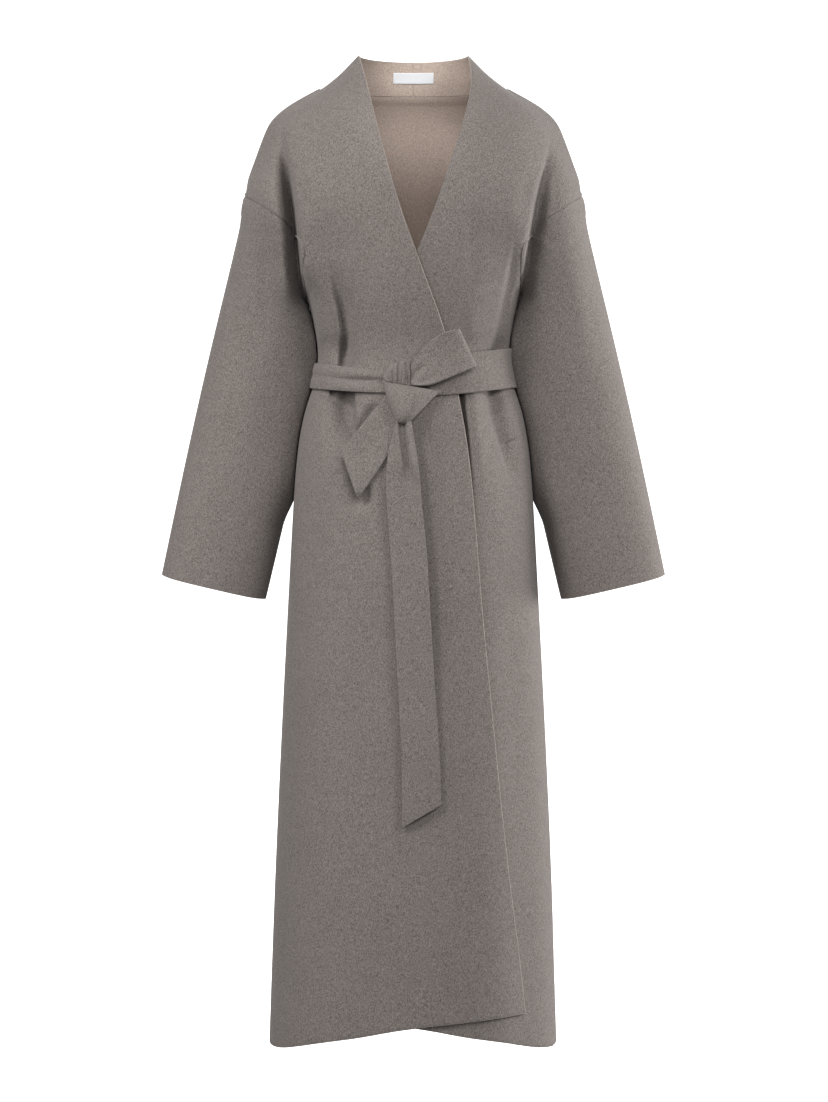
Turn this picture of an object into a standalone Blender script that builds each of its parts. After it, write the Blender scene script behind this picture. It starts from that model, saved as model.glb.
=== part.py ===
"""A long belted wrap coat in double-faced wool, filled out as if worn, with nothing inside it.

The body is a stack of rounded sections, from the hem to the collar's top edge. The fronts, the back and
the grown-on collar are cut out of that one surface, and the sleeves run from its armholes. Metres, +Z up,
the coat faces -Y, and the origin lies where the wearer's shoulders carry it. Heights in the tables count
from the level of the hem. "around" is the angle seen from above: 0 at the wearer's left side (+X), a
quarter turn at the front, half a turn at the wearer's right side, and minus a quarter turn at the back.
"""

import math
from collections import Counter, namedtuple

import bmesh
import bpy
import numpy as np

# Driving sizes
HOLD_HEIGHT = 1.270  # from the hem's level up to the origin
CLOTH = 0.0025
BELT_CLOTH = 0.0036
SEAM_GAP = 0.0003
LAY_GAP = 0.0009  # between the belt and the cloth under it
WRAP_LIFT = 0.0050  # the front that lies on top, above the one below

UNDERARM_HEIGHT = 1.005
UNDERARM_X = 0.142
SHOULDER_TIP_HEIGHT = 1.145
SHOULDER_TIP_X = 0.2285
ARMHOLE_SCOOP = 0.030  # how far the armhole seam curves in towards the chest
NECK_SEAM_HEIGHT = 1.290
COLLAR_TOP_HEIGHT = 1.335
COLLAR_CORNER_HEIGHT = 1.336

HEM_RISE_DEPTH = 0.50  # height at which the lift of the hem has died out
BACK_HEM_RISE = 0.010
SIDE_HEM_RISE = 0.0065
SEAM_SWING = math.radians(15)  # the left side seam turns forward by this at the hem
SEAM_SWING_HEIGHT = 0.33

LABEL_WIDTH = 0.056
LABEL_LOW, LABEL_HIGH = 1.306, 1.321
LABEL_CLOTH = 0.0008

# Cells across each piece
FRONT_COLUMNS = 17
COLLAR_FIRST_COLUMN = 13
COLLAR_ROWS = 8
BACK_COLUMNS = 16
ARMHOLE_STEPS = 9
SHOULDER_STEPS = 7
SKIRT_LEVELS = (0, 0.05, 0.11, 0.19, 0.28, 0.37, 0.46, 0.55, 0.63, 0.70, 0.75, 0.79, 0.82, 0.845, 0.865)
WAIST_LEVELS = (0.882, 0.896, 0.910, 0.926, 0.945, 0.965, 0.985)

QUARTER = math.pi / 2
WOOL_COLOUR = (0.225, 0.200, 0.180)
LABEL_COLOUR = (0.80, 0.81, 0.83)

Section = namedtuple("Section", "height half_width front back squareness")
SECTIONS = (
    Section(-0.030, 0.1945, 0.1510, 0.1510, 2.30),
    Section(0.000, 0.1935, 0.1500, 0.1500, 2.30),
    Section(0.200, 0.1866, 0.1470, 0.1470, 2.30),
    Section(0.470, 0.1745, 0.1400, 0.1420, 2.30),
    Section(0.670, 0.1640, 0.1330, 0.1370, 2.30),
    Section(0.736, 0.1605, 0.1290, 0.1340, 2.30),
    Section(0.803, 0.1550, 0.1220, 0.1280, 2.30),
    Section(0.844, 0.1480, 0.1160, 0.1200, 2.25),
    Section(0.871, 0.1405, 0.1100, 0.1120, 2.20),
    Section(0.890, 0.1335, 0.1050, 0.1050, 2.20),
    Section(0.908, 0.1300, 0.1025, 0.1020, 2.20),
    Section(0.926, 0.1275, 0.1015, 0.1000, 2.20),
    Section(0.945, 0.1285, 0.1025, 0.1000, 2.25),
    Section(0.965, 0.1315, 0.1070, 0.1030, 2.35),
    Section(0.985, 0.1360, 0.1115, 0.1060, 2.40),
    Section(1.005, 0.1420, 0.1155, 0.1090, 2.40),
    Section(1.050, 0.1800, 0.1225, 0.1155, 2.40),
    Section(1.100, 0.2200, 0.1265, 0.1200, 2.35),
    Section(1.145, 0.2285, 0.1260, 0.1220, 2.30),
    Section(1.181, 0.2175, 0.1205, 0.1200, 2.20),
    Section(1.208, 0.2080, 0.1130, 0.1160, 2.15),
    Section(1.238, 0.1965, 0.1010, 0.1060, 2.10),
    Section(1.250, 0.1910, 0.0955, 0.1005, 2.05),
    Section(1.260, 0.1800, 0.0895, 0.0940, 2.00),
    Section(1.270, 0.1655, 0.0820, 0.0865, 2.00),
    Section(1.281, 0.1445, 0.0725, 0.0765, 2.00),
    Section(1.292, 0.1235, 0.0625, 0.0675, 2.00),
    Section(1.303, 0.1095, 0.0560, 0.0640, 2.00),
    Section(1.313, 0.0970, 0.0510, 0.0630, 2.00),
    Section(1.324, 0.0865, 0.0470, 0.0625, 2.00),
    Section(1.336, 0.0740, 0.0435, 0.0620, 2.00),
    Section(1.346, 0.0690, 0.0420, 0.0618, 2.00),
)

# The free edge of a front. x counts from the coat's middle, positive on the front's own side.
EdgePoint = namedtuple("EdgePoint", "height x")
SKIRT_EDGE = (
    EdgePoint(0.000, -0.1545),
    EdgePoint(0.067, -0.1475),
    EdgePoint(0.140, -0.1390),
    EdgePoint(0.224, -0.1260),
    EdgePoint(0.303, -0.1163),
    EdgePoint(0.394, -0.1066),
    EdgePoint(0.498, -0.0967),
    EdgePoint(0.590, -0.0872),
    EdgePoint(0.697, -0.0795),
    EdgePoint(0.792, -0.0705),
    EdgePoint(0.834, -0.0641),
    EdgePoint(0.869, -0.0576),
    EdgePoint(0.919, -0.0475),
    EdgePoint(0.964, -0.0376),
    EdgePoint(0.997, -0.0263),
)
RIGHT_NECK_EDGE = (
    EdgePoint(1.071, 0.0000),
    EdgePoint(1.128, 0.0197),
    EdgePoint(1.199, 0.0396),
    EdgePoint(1.238, 0.0498),
    EdgePoint(1.279, 0.0587),
    EdgePoint(1.302, 0.0643),
    EdgePoint(1.336, 0.0722),
)
LEFT_NECK_EDGE = (
    EdgePoint(1.058, 0.0040),
    EdgePoint(1.139, 0.0350),
    EdgePoint(1.178, 0.0482),
    EdgePoint(1.220, 0.0617),
    EdgePoint(1.258, 0.0718),
    EdgePoint(1.280, 0.0766),
    EdgePoint(1.308, 0.0800),
    EdgePoint(1.336, 0.0736),
)

# How far the hem of a front rises, by x counted as above.
HemPoint = namedtuple("HemPoint", "x rise")
FRONT_HEM = (
    HemPoint(-0.160, 0.0580),
    HemPoint(-0.145, 0.0570),
    HemPoint(-0.022, 0.0460),
    HemPoint(0.017, 0.0410),
    HemPoint(0.074, 0.0295),
    HemPoint(0.109, 0.0235),
    HemPoint(0.140, 0.0165),
    HemPoint(0.172, 0.0080),
    HemPoint(0.183, 0.0065),
    HemPoint(0.195, 0.0065),
)

# The largest folds, as troughs in the cloth. x counts from the coat's middle, positive on the wearer's left.
# A fold fades in below its top and out above its low end over the two lengths given.
Fold = namedtuple("Fold", "x_top top x_low low half_width depth fade_top fade_low")
FRONT_FOLDS = (
    Fold(-0.176, 1.235, -0.152, 1.005, 0.020, 0.020, 0.110, 0.070),
    Fold(0.176, 1.235, 0.152, 1.005, 0.020, 0.020, 0.110, 0.070),
    Fold(-0.114, 1.090, -0.090, 0.905, 0.015, 0.009, 0.110, 0.020),
    Fold(0.140, 1.090, 0.108, 0.910, 0.015, 0.011, 0.100, 0.020),
    Fold(0.084, 1.030, 0.079, 0.915, 0.016, 0.004, 0.070, 0.020),
    Fold(-0.091, 0.905, -0.102, 0.740, 0.016, 0.010, 0.020, 0.090),
    Fold(0.098, 0.905, 0.140, 0.715, 0.016, 0.010, 0.020, 0.090),
    Fold(0.125, 0.680, 0.156, -0.100, 0.026, 0.006, 0.150, 0.050),
    Fold(-0.055, 0.700, -0.062, -0.100, 0.040, 0.004, 0.200, 0.050),
)
BACK_FOLDS = (
    Fold(-0.095, 1.080, -0.084, 0.905, 0.018, 0.009, 0.120, 0.020),
    Fold(-0.030, 1.030, -0.032, 0.910, 0.017, 0.006, 0.080, 0.020),
    Fold(0.036, 1.050, 0.030, 0.910, 0.017, 0.007, 0.100, 0.020),
    Fold(0.102, 1.075, 0.088, 0.905, 0.018, 0.009, 0.110, 0.020),
    Fold(-0.088, 0.905, -0.110, 0.560, 0.018, 0.010, 0.020, 0.200),
    Fold(-0.028, 0.905, -0.040, 0.640, 0.018, 0.007, 0.020, 0.160),
    Fold(0.034, 0.905, 0.044, 0.520, 0.018, 0.009, 0.020, 0.240),
    Fold(0.092, 0.905, 0.118, 0.620, 0.018, 0.009, 0.020, 0.170),
)

# A sleeve's rings, by their share of its length. The outer line runs from the shoulder tip
# to the cuff. The inner line is given here, with the half depths, how far the ring's middle lies towards
# the back, and how far its front and back curve in.
CUFF_OUTER_X, CUFF_OUTER_HEIGHT = 0.3430, 0.633
SLEEVE_BOW = 0.0045  # the outer line swells by this at its middle
Ring = namedtuple("Ring", "share inner_x inner_height front back set_back scoop")
SLEEVE_RINGS = (
    Ring(0.000, 0.1420, 1.005, 0.0740, 0.0700, 0.000, 0.030),
    Ring(0.045, 0.1510, 0.998, 0.0725, 0.0700, 0.008, 0.024),
    Ring(0.110, 0.1372, 0.968, 0.0710, 0.0700, 0.022, 0.016),
    Ring(0.200, 0.1322, 0.930, 0.0690, 0.0695, 0.032, 0.009),
    Ring(0.300, 0.1385, 0.892, 0.0670, 0.0680, 0.036, 0.004),
    Ring(0.420, 0.1480, 0.845, 0.0650, 0.0660, 0.036, 0.001),
    Ring(0.530, 0.1550, 0.803, 0.0630, 0.0640, 0.034, 0.000),
    Ring(0.660, 0.1640, 0.748, 0.0600, 0.0610, 0.028, 0.000),
    Ring(0.780, 0.1745, 0.699, 0.0570, 0.0580, 0.022, 0.000),
    Ring(0.900, 0.1865, 0.647, 0.0540, 0.0550, 0.016, 0.000),
    Ring(0.970, 0.1942, 0.613, 0.0525, 0.0535, 0.013, 0.000),
    Ring(1.000, 0.1975, 0.599, 0.0520, 0.0530, 0.012, 0.000),
)
ARMHOLE_REACH = 0.35  # the share of the sleeve over which the armhole's shape dies out
CUFF_CORNER_LIFT = 0.003  # the cuff's edge rises by this at its two corners
MOST_MITRE = 2.2

# The belt round the waist, by the angle along it from the knot, past the right side and the back.
BeltPoint = namedtuple("BeltPoint", "degrees height half_height crease")
BELT_POINTS = (
    BeltPoint(103, 0.8885, 0.0138, 0.0000),
    BeltPoint(111, 0.8895, 0.0142, 0.0004),
    BeltPoint(122, 0.8912, 0.0147, 0.0018),
    BeltPoint(150, 0.8980, 0.0163, 0.0016),
    BeltPoint(180, 0.9036, 0.0168, 0.0008),
    BeltPoint(215, 0.9060, 0.0235, 0.0000),
    BeltPoint(250, 0.9070, 0.0262, 0.0000),
    BeltPoint(300, 0.9080, 0.0262, 0.0000),
    BeltPoint(360, 0.9135, 0.0265, 0.0000),
    BeltPoint(400, 0.9060, 0.0264, 0.0000),
    BeltPoint(420, 0.9000, 0.0258, 0.0000),
    BeltPoint(440, 0.8935, 0.0225, 0.0000),
)
BELT_STEPS = 44
BELT_BANDS = 6
BELT_ENVELOPE = 0.050  # how far past the top front's edge the belt still stands off

# Pieces of the tie. Each row crosses a piece from one edge to the other, seen from the front, and "out"
# is how far its middle stands off the cloth of the coat.
TieRow = namedtuple("TieRow", "x1 height1 x2 height2 out")
LONG_TAIL = (
    TieRow(-0.0202, 0.8523, -0.0045, 0.8523, 0.0068),
    TieRow(-0.0222, 0.8339, -0.0025, 0.8339, 0.0068),
    TieRow(-0.0294, 0.8129, 0.0014, 0.8129, 0.0072),
    TieRow(-0.0347, 0.7866, 0.0060, 0.7866, 0.0074),
    TieRow(-0.0360, 0.7603, 0.0087, 0.7603, 0.0072),
    TieRow(-0.0347, 0.7235, 0.0113, 0.7235, 0.0066),
    TieRow(-0.0307, 0.6762, 0.0172, 0.6762, 0.0062),
    TieRow(-0.0267, 0.6160, 0.0204, 0.6160, 0.0064),
    TieRow(-0.0234, 0.5505, 0.0243, 0.5505, 0.0068),
    TieRow(-0.0201, 0.4853, 0.0282, 0.4853, 0.0064),
    TieRow(-0.0162, 0.4202, 0.0334, 0.4202, 0.0058),
    TieRow(-0.0145, 0.3552, 0.0356, 0.3640, 0.0054),
    TieRow(-0.0149, 0.3055, 0.0360, 0.3355, 0.0054),
)
SHORT_TAIL = (
    TieRow(-0.0345, 0.8720, -0.0124, 0.8234, 0.0030),
    TieRow(-0.0500, 0.8536, -0.0275, 0.8010, 0.0030),
    TieRow(-0.0662, 0.8339, -0.0426, 0.7787, 0.0034),
    TieRow(-0.0810, 0.8135, -0.0580, 0.7560, 0.0038),
    TieRow(-0.0938, 0.7958, -0.0728, 0.7340, 0.0040),
)
TAIL_COLUMNS = 5

# The knot's wrapped tongue, from its top edge to its tip, with the stand-off of its back and its front.
KnotRow = namedtuple("KnotRow", "x1 height1 x2 height2 back front")
KNOT = (
    KnotRow(-0.0399, 0.8905, 0.0363, 0.8768, 0.0064, 0.0150),
    KnotRow(-0.0388, 0.8845, 0.0310, 0.8722, 0.0064, 0.0205),
    KnotRow(-0.0373, 0.8772, 0.0244, 0.8664, 0.0072, 0.0235),
    KnotRow(-0.0334, 0.8628, 0.0113, 0.8526, 0.0096, 0.0250),
    KnotRow(-0.0281, 0.8483, 0.0008, 0.8410, 0.0096, 0.0235),
    KnotRow(-0.0245, 0.8395, -0.0060, 0.8352, 0.0096, 0.0195),
    KnotRow(-0.0228, 0.8345, -0.0092, 0.8325, 0.0096, 0.0150),
)
KNOT_COLUMNS = 8

# The gathered strap above the tongue, from its left to its right, with its lower and upper edges.
GatherColumn = namedtuple("GatherColumn", "x low high front")
GATHER = (
    GatherColumn(-0.0393, 0.8907, 0.9022, 0.0090),
    GatherColumn(-0.0337, 0.8897, 0.9076, 0.0125),
    GatherColumn(-0.0281, 0.8887, 0.9121, 0.0140),
    GatherColumn(-0.0176, 0.8868, 0.9165, 0.0150),
    GatherColumn(-0.0071, 0.8849, 0.9160, 0.0145),
    GatherColumn(-0.0030, 0.8842, 0.9127, 0.0105),
)
GATHER_PLEATS = 4
GATHER_PLEAT_DEPTH = 0.0010
GATHER_STEPS = 16
GATHER_ROWS = 4
TIE_RIM = 0.0036  # the thickness left at the rolled edges of the knot

# The loop of the bow, from the knot to its fold: lower and upper edge, with the stand-off of its two layers.
LoopRow = namedtuple("LoopRow", "x1 height1 x2 height2 behind front")
LOOP = (
    LoopRow(-0.0026, 0.8843, -0.0026, 0.9122, 0.0066, 0.0126),
    LoopRow(0.0085, 0.8836, 0.0068, 0.9265, 0.0066, 0.0160),
    LoopRow(0.0200, 0.8838, 0.0160, 0.9372, 0.0067, 0.0185),
    LoopRow(0.0350, 0.8895, 0.0262, 0.9460, 0.0069, 0.0196),
    LoopRow(0.0510, 0.8968, 0.0372, 0.9526, 0.0075, 0.0196),
    LoopRow(0.0680, 0.9038, 0.0485, 0.9564, 0.0086, 0.0190),
    LoopRow(0.0792, 0.9086, 0.0560, 0.9578, 0.0100, 0.0180),
)
LOOP_TURN_STEPS = 4
LOOP_COLUMNS = 5


def smooth_curve(places, values):
    """A cubic through the points that never swings past them, as a function of the place."""
    places = np.array(places, float)
    values = np.array(values, float)
    step = np.diff(places)
    rise = np.diff(values) / step
    slope = np.zeros(len(places))
    slope[0], slope[-1] = rise[0], rise[-1]
    same_way = rise[:-1] * rise[1:] > 0
    mean = 2 * rise[:-1] * rise[1:] / np.where(same_way, rise[:-1] + rise[1:], 1)
    slope[1:-1] = np.where(same_way, mean, 0)

    def at(place):
        place = np.clip(place, places[0], places[-1])
        i = np.clip(np.searchsorted(places, place) - 1, 0, len(step) - 1)
        t = (place - places[i]) / step[i]
        start = (1 + 2 * t) * (1 - t) ** 2 * values[i] + t * (1 - t) ** 2 * step[i] * slope[i]
        end = t * t * (3 - 2 * t) * values[i + 1] - t * t * (1 - t) * step[i] * slope[i + 1]
        return start + end

    return at


def table_curves(rows, key):
    """One smooth curve for each other column of a table, by the column that is the key."""
    places = [getattr(row, key) for row in rows]
    return {name: smooth_curve(places, [getattr(row, name) for row in rows]) for name in rows[0]._fields}


def soft_step(t):
    t = np.clip(t, 0, 1)
    return t * t * (3 - 2 * t)


SHAPE = table_curves(SECTIONS, "height")
RIGHT_EDGE = table_curves(SKIRT_EDGE + RIGHT_NECK_EDGE, "height")["x"]
LEFT_EDGE = table_curves(SKIRT_EDGE + LEFT_NECK_EDGE, "height")["x"]
HEM_LIFT = table_curves(FRONT_HEM, "x")["rise"]


def plain_radius(around, height):
    """From the coat's middle line to the middle of its cloth, with no folds."""
    depth = np.where(np.sin(around) > 0, SHAPE["front"](height), SHAPE["back"](height))
    power = SHAPE["squareness"](height)
    across = np.abs(np.cos(around)) / SHAPE["half_width"](height)
    along = np.abs(np.sin(around)) / depth
    return (across**power + along**power) ** (-1 / power)


def angle_at(x, height, back=False):
    """The angle at which the plain body has this x, on its front or on its back."""
    x, height = np.broadcast_arrays(np.asarray(x, float), np.asarray(height, float))
    low, high = np.zeros(x.shape), np.full(x.shape, math.pi)
    turn = -1 if back else 1
    for _ in range(40):
        middle = (low + high) / 2
        beyond = plain_radius(turn * middle, height) * np.cos(middle) > x
        low, high = np.where(beyond, middle, low), np.where(beyond, high, middle)
    return turn * (low + high) / 2


def fold_depth(around, height):
    """How deep the troughs lie below the plain body."""
    around, height = np.broadcast_arrays(np.asarray(around, float), np.asarray(height, float))
    radius = plain_radius(around, height)
    total = np.zeros(around.shape)
    for folds, back in ((FRONT_FOLDS, False), (BACK_FOLDS, True)):
        for fold in folds:
            share = np.clip((fold.top - height) / (fold.top - fold.low), 0, 1)
            x = fold.x_top + (fold.x_low - fold.x_top) * share
            away = around - angle_at(x, height, back)
            away = np.abs((away + math.pi) % (2 * math.pi) - math.pi) * radius
            shown = soft_step((fold.top - height) / fold.fade_top) * soft_step((height - fold.low) / fold.fade_low)
            total = total + fold.depth * shown * np.exp(-((away / fold.half_width) ** 2))
    return total


def wrap_lift(around, height):
    """How far the right front, which lies on top, stands off the left one."""
    own_x = -plain_radius(around, height) * np.cos(around)
    overlap = -RIGHT_EDGE(height)
    near_edge = soft_step((overlap + 0.055 - own_x) / 0.045)
    from_side = soft_step((math.pi - around) / math.radians(22))
    return WRAP_LIFT * near_edge * from_side


def no_lift(around, height):
    return np.zeros(np.broadcast(around, height).shape)


def body_points(around, height, lift=no_lift, folded=True):
    """Points in the middle of the cloth."""
    around, height = np.broadcast_arrays(np.asarray(around, float), np.asarray(height, float))
    radius = plain_radius(around, height) + lift(around, height)
    if folded:
        radius = radius - fold_depth(around, height)
    return np.stack([radius * np.cos(around), -radius * np.sin(around), height - HOLD_HEIGHT], axis=-1)


def unit(vectors):
    return vectors / np.linalg.norm(vectors, axis=-1, keepdims=True)


def body_facing(around, height, lift=no_lift, folded=True):
    """Which way the outside of the cloth faces."""
    small = 1e-4
    turn = body_points(around + small, height, lift, folded) - body_points(around - small, height, lift, folded)
    climb = body_points(around, height + small, lift, folded) - body_points(around, height - small, lift, folded)
    return unit(np.cross(climb, turn))


def grid_facing(points, closed_round=False):
    """Which way a grid of points faces, from its neighbours along and across."""
    along = np.gradient(points, axis=0)
    if closed_round:
        across = np.roll(points, -1, axis=1) - np.roll(points, 1, axis=1)
    else:
        across = np.gradient(points, axis=1)
    return unit(np.cross(along, across))


def seam_angle(height):
    """Half a seam's gap, as an angle."""
    return SEAM_GAP / 2 / plain_radius(0.0, height)


def side_seam(side, height):
    """The angle of a side seam ahead of the body's side, on the front's own side."""
    if side < 0:
        return 0.0
    return SEAM_SWING * max(0.0, 1 - height / SEAM_SWING_HEIGHT)


def armhole_turns():
    """Angles round an armhole from its underarm up to its shoulder tip, spread between even turns and heights."""
    share = np.linspace(0, 1, ARMHOLE_STEPS + 1)
    climb = 0.5 * share + 0.25 * (1 - np.cos(math.pi * share))
    return np.arccos(2 * climb - 1)


def armhole_height(turn):
    return UNDERARM_HEIGHT + (SHOULDER_TIP_HEIGHT - UNDERARM_HEIGHT) * (1 + math.cos(turn)) / 2


def armhole_angle(turn, back=False):
    """Where the armhole seam lies round the body, on its front or on its back edge."""
    if math.sin(turn) < 1e-6:
        return 0.0
    middle, half = (SHOULDER_TIP_X + UNDERARM_X) / 2, (SHOULDER_TIP_X - UNDERARM_X) / 2
    x = middle + half * math.cos(turn) - ARMHOLE_SCOOP * math.sin(turn) ** 2
    return float(angle_at(x, armhole_height(turn), back))


def material(name, colour, roughness):
    made = bpy.data.materials.new(name)
    made.use_nodes = True
    shader = made.node_tree.nodes["Principled BSDF"]
    shader.inputs["Base Color"].default_value = (*colour, 1)
    shader.inputs["Roughness"].default_value = roughness
    shader.inputs["Metallic"].default_value = 0
    return made


def closed_wall(name, outer, inner, cloth_material, has_cell=None, closed_round=False):
    """A closed solid between two grids of points that share their rows and columns."""
    rows, columns = outer.shape[:2]
    wall = bmesh.new()
    corners = {}

    def corner(layer, place):
        key = (layer, place[0], place[1] % columns)
        if key not in corners:
            corners[key] = wall.verts.new((outer, inner)[layer][key[1], key[2]])
        return corners[key]

    edges = Counter()
    for i in range(rows - 1):
        for j in range(columns if closed_round else columns - 1):
            if has_cell and not has_cell(i, j):
                continue
            ring = [(i, j), (i, j + 1), (i + 1, j + 1), (i + 1, j)]
            wall.faces.new([corner(0, place) for place in ring])
            wall.faces.new([corner(1, place) for place in reversed(ring)])
            for a, b in zip(ring, ring[1:] + ring[:1]):
                edges[tuple(sorted(((a[0], a[1] % columns), (b[0], b[1] % columns))))] += 1
    for (a, b), cells in edges.items():
        if cells == 1:
            wall.faces.new([corner(0, a), corner(0, b), corner(1, b), corner(1, a)])
    bmesh.ops.recalc_face_normals(wall, faces=wall.faces)
    mesh = bpy.data.meshes.new(name)
    wall.to_mesh(mesh)
    wall.free()
    mesh.shade_smooth()
    mesh.set_sharp_from_angle(angle=math.radians(50))
    mesh.materials.append(cloth_material)
    made = bpy.data.objects.new(name, mesh)
    bpy.context.scene.collection.objects.link(made)
    return made


def sheet_wall(name, middle, facing, thickness, cloth_material, **options):
    half = facing * thickness / 2
    return closed_wall(name, middle + half, middle - half, cloth_material, **options)


def mitre(own, other):
    """The direction and length of the wall's edge where two pieces meet at an angle."""
    shared = unit(own + other)
    stretch = 1 / np.maximum((shared * own).sum(axis=-1, keepdims=True), 1 / MOST_MITRE)
    return shared * stretch


def front_panel(name, side, edge, lift, sleeve_facing, wool):
    """One front with its half of the grown-on collar. side is 1 for the wearer's left and -1 for the right."""
    levels = SKIRT_LEVELS + WAIST_LEVELS
    columns = np.arange(FRONT_COLUMNS + 1)
    neck_share = COLLAR_FIRST_COLUMN / FRONT_COLUMNS
    share = columns / FRONT_COLUMNS
    angles, heights = [], []
    for level in levels:
        fade = max(0.0, 1 - level / HEM_RISE_DEPTH) ** 2
        start = side_seam(side, level) + seam_angle(level)
        edge_height = level + float(HEM_LIFT(edge(level))) * fade
        end = angle_at(edge(edge_height), edge_height)
        row = start + (end - start) * share
        rise = HEM_LIFT(plain_radius(row, level) * np.cos(row))
        angles.append(row)
        heights.append(level + rise * fade)
    turns = armhole_turns()
    edge_heights = np.linspace(UNDERARM_HEIGHT, COLLAR_CORNER_HEIGHT, len(turns))
    on_shoulder = np.minimum(share / neck_share, 1)
    on_collar = np.maximum((share - neck_share) / (1 - neck_share), 0)
    seam_climb = (NECK_SEAM_HEIGHT - SHOULDER_TIP_HEIGHT) * on_shoulder
    seam_climb = seam_climb + (COLLAR_CORNER_HEIGHT - NECK_SEAM_HEIGHT) * on_collar
    seam_climb = seam_climb / seam_climb[-1]
    for step, (turn, edge_height) in enumerate(zip(turns, edge_heights)):
        start = armhole_angle(turn) or seam_angle(armhole_height(turn))
        end = float(angle_at(edge(edge_height), edge_height))
        to_seam = (step / ARMHOLE_STEPS) ** 4
        angles.append(start + (end - start) * ((1 - to_seam) * share + to_seam * on_collar))
        climb = (1 - to_seam) * share + to_seam * seam_climb
        heights.append(armhole_height(turn) + (edge_height - armhole_height(turn)) * climb)
    shoulder_row = len(angles) - 1
    back_heights = heights[-1] + (COLLAR_TOP_HEIGHT - COLLAR_CORNER_HEIGHT) * on_collar + SEAM_GAP / 2
    for step in range(1, COLLAR_ROWS + 1):
        to_back = step / COLLAR_ROWS
        centre_back = -QUARTER + SEAM_GAP / 2 / SHAPE["back"](NECK_SEAM_HEIGHT)
        angles.append(angles[shoulder_row] * (1 - to_back) + centre_back * to_back)
        heights.append(heights[shoulder_row] * (1 - to_back) + back_heights * to_back)
    own = np.array(angles)
    around = own if side > 0 else math.pi - own
    height = np.array(heights)
    middle = body_points(around, height, lift)
    facing = body_facing(around, height, lift)
    first = len(levels)
    armhole = slice(first, first + ARMHOLE_STEPS + 1)
    facing[armhole, 0] = mitre(facing[armhole, 0], sleeve_facing)

    def has_cell(i, j):
        return i < shoulder_row or j >= COLLAR_FIRST_COLUMN

    return sheet_wall(name, middle, facing, CLOTH, wool, has_cell=has_cell)


def back_panel(name, sleeve_facing, wool):
    """The back, from side seam to side seam, up to the shoulder seams and the neck seam."""
    turns = armhole_turns()
    shoulder = np.linspace(SHOULDER_TIP_HEIGHT, NECK_SEAM_HEIGHT - SEAM_GAP / 2, SHOULDER_STEPS + 1)[1:]
    levels = list(SKIRT_LEVELS + WAIST_LEVELS) + [armhole_height(turn) for turn in turns] + list(shoulder)
    first = len(SKIRT_LEVELS + WAIST_LEVELS)
    share = np.arange(BACK_COLUMNS + 1) / BACK_COLUMNS
    angles, heights = [], []
    for i, level in enumerate(levels):
        left, right = side_seam(1, level) - seam_angle(level), -math.pi + seam_angle(level)
        if 0 < i - first < ARMHOLE_STEPS:
            left = armhole_angle(turns[i - first], back=True)
            right = -math.pi - left
        row = left + (right - left) * share
        fade = max(0.0, 1 - level / HEM_RISE_DEPTH) ** 2
        rise = SIDE_HEM_RISE + (BACK_HEM_RISE - SIDE_HEM_RISE) * np.sin(math.pi * share)
        angles.append(row)
        heights.append(level + rise * fade)
    around, height = np.array(angles), np.array(heights)
    middle = body_points(around, height)
    facing = body_facing(around, height)
    armhole = slice(first, first + ARMHOLE_STEPS + 1)
    for column, side in ((0, 1), (-1, -1)):
        facing[armhole, column] = mitre(facing[armhole, column], sleeve_facing[side])
    return sheet_wall(name, middle, facing, CLOTH, wool)


def sleeve_rings(side):
    """Rings of points from the armhole to the cuff, each from the underarm up the front and down the back."""
    up = armhole_turns()
    turns = np.concatenate([up, -up[-2:0:-1]])
    heights = np.array([armhole_height(turn) for turn in turns])
    own = np.array([armhole_angle(abs(turn), back=turn < 0) for turn in turns])
    armhole = body_points(own if side > 0 else math.pi - own, heights)
    rings = []
    for ring in SLEEVE_RINGS:
        outer = np.array([SHOULDER_TIP_X, SHOULDER_TIP_HEIGHT]) * (1 - ring.share)
        outer = outer + np.array([CUFF_OUTER_X, CUFF_OUTER_HEIGHT]) * ring.share
        outer[0] += SLEEVE_BOW * math.sin(math.pi * ring.share)
        inner = np.array([ring.inner_x, ring.inner_height])
        middle, half = (outer + inner) / 2, (outer - inner) / 2
        x = middle[0] + half[0] * np.cos(turns) - ring.scoop * np.sin(turns) ** 2
        height = middle[1] + half[1] * np.cos(turns)
        height = height + CUFF_CORNER_LIFT * ring.share**8 * np.cos(turns) ** 8
        y = ring.set_back + np.where(turns > 0, -ring.front, ring.back) * np.abs(np.sin(turns))
        rings.append(np.stack([side * x, y, height - HOLD_HEIGHT], axis=-1))
    from_armhole = armhole - rings[0]
    for i, ring in enumerate(SLEEVE_RINGS):
        rings[i] = rings[i] + from_armhole * max(0.0, 1 - ring.share / ARMHOLE_REACH) ** 2
    return np.array(rings)


def sleeve_facings(rings, side):
    return grid_facing(rings, closed_round=True) * side


def sleeve(name, side, rings, body_edge_facing, wool):
    """A sleeve, from its armhole seam to its cuff."""
    facing = sleeve_facings(rings, side)
    facing[0] = mitre(facing[0], body_edge_facing)
    run = unit(rings[1] - rings[0])
    middle = rings.copy()
    middle[0] = middle[0] + run * SEAM_GAP
    return sheet_wall(name, middle, facing, CLOTH, wool, closed_round=True)


def armhole_facings(side):
    """The body's facing at each point of an armhole, in the order of a sleeve's ring."""
    up = armhole_turns()
    turns = np.concatenate([up, -up[-2:0:-1]])
    heights = np.array([armhole_height(turn) for turn in turns])
    own = np.array([armhole_angle(abs(turn), back=turn < 0) for turn in turns])
    return body_facing(own if side > 0 else math.pi - own, heights)


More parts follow.
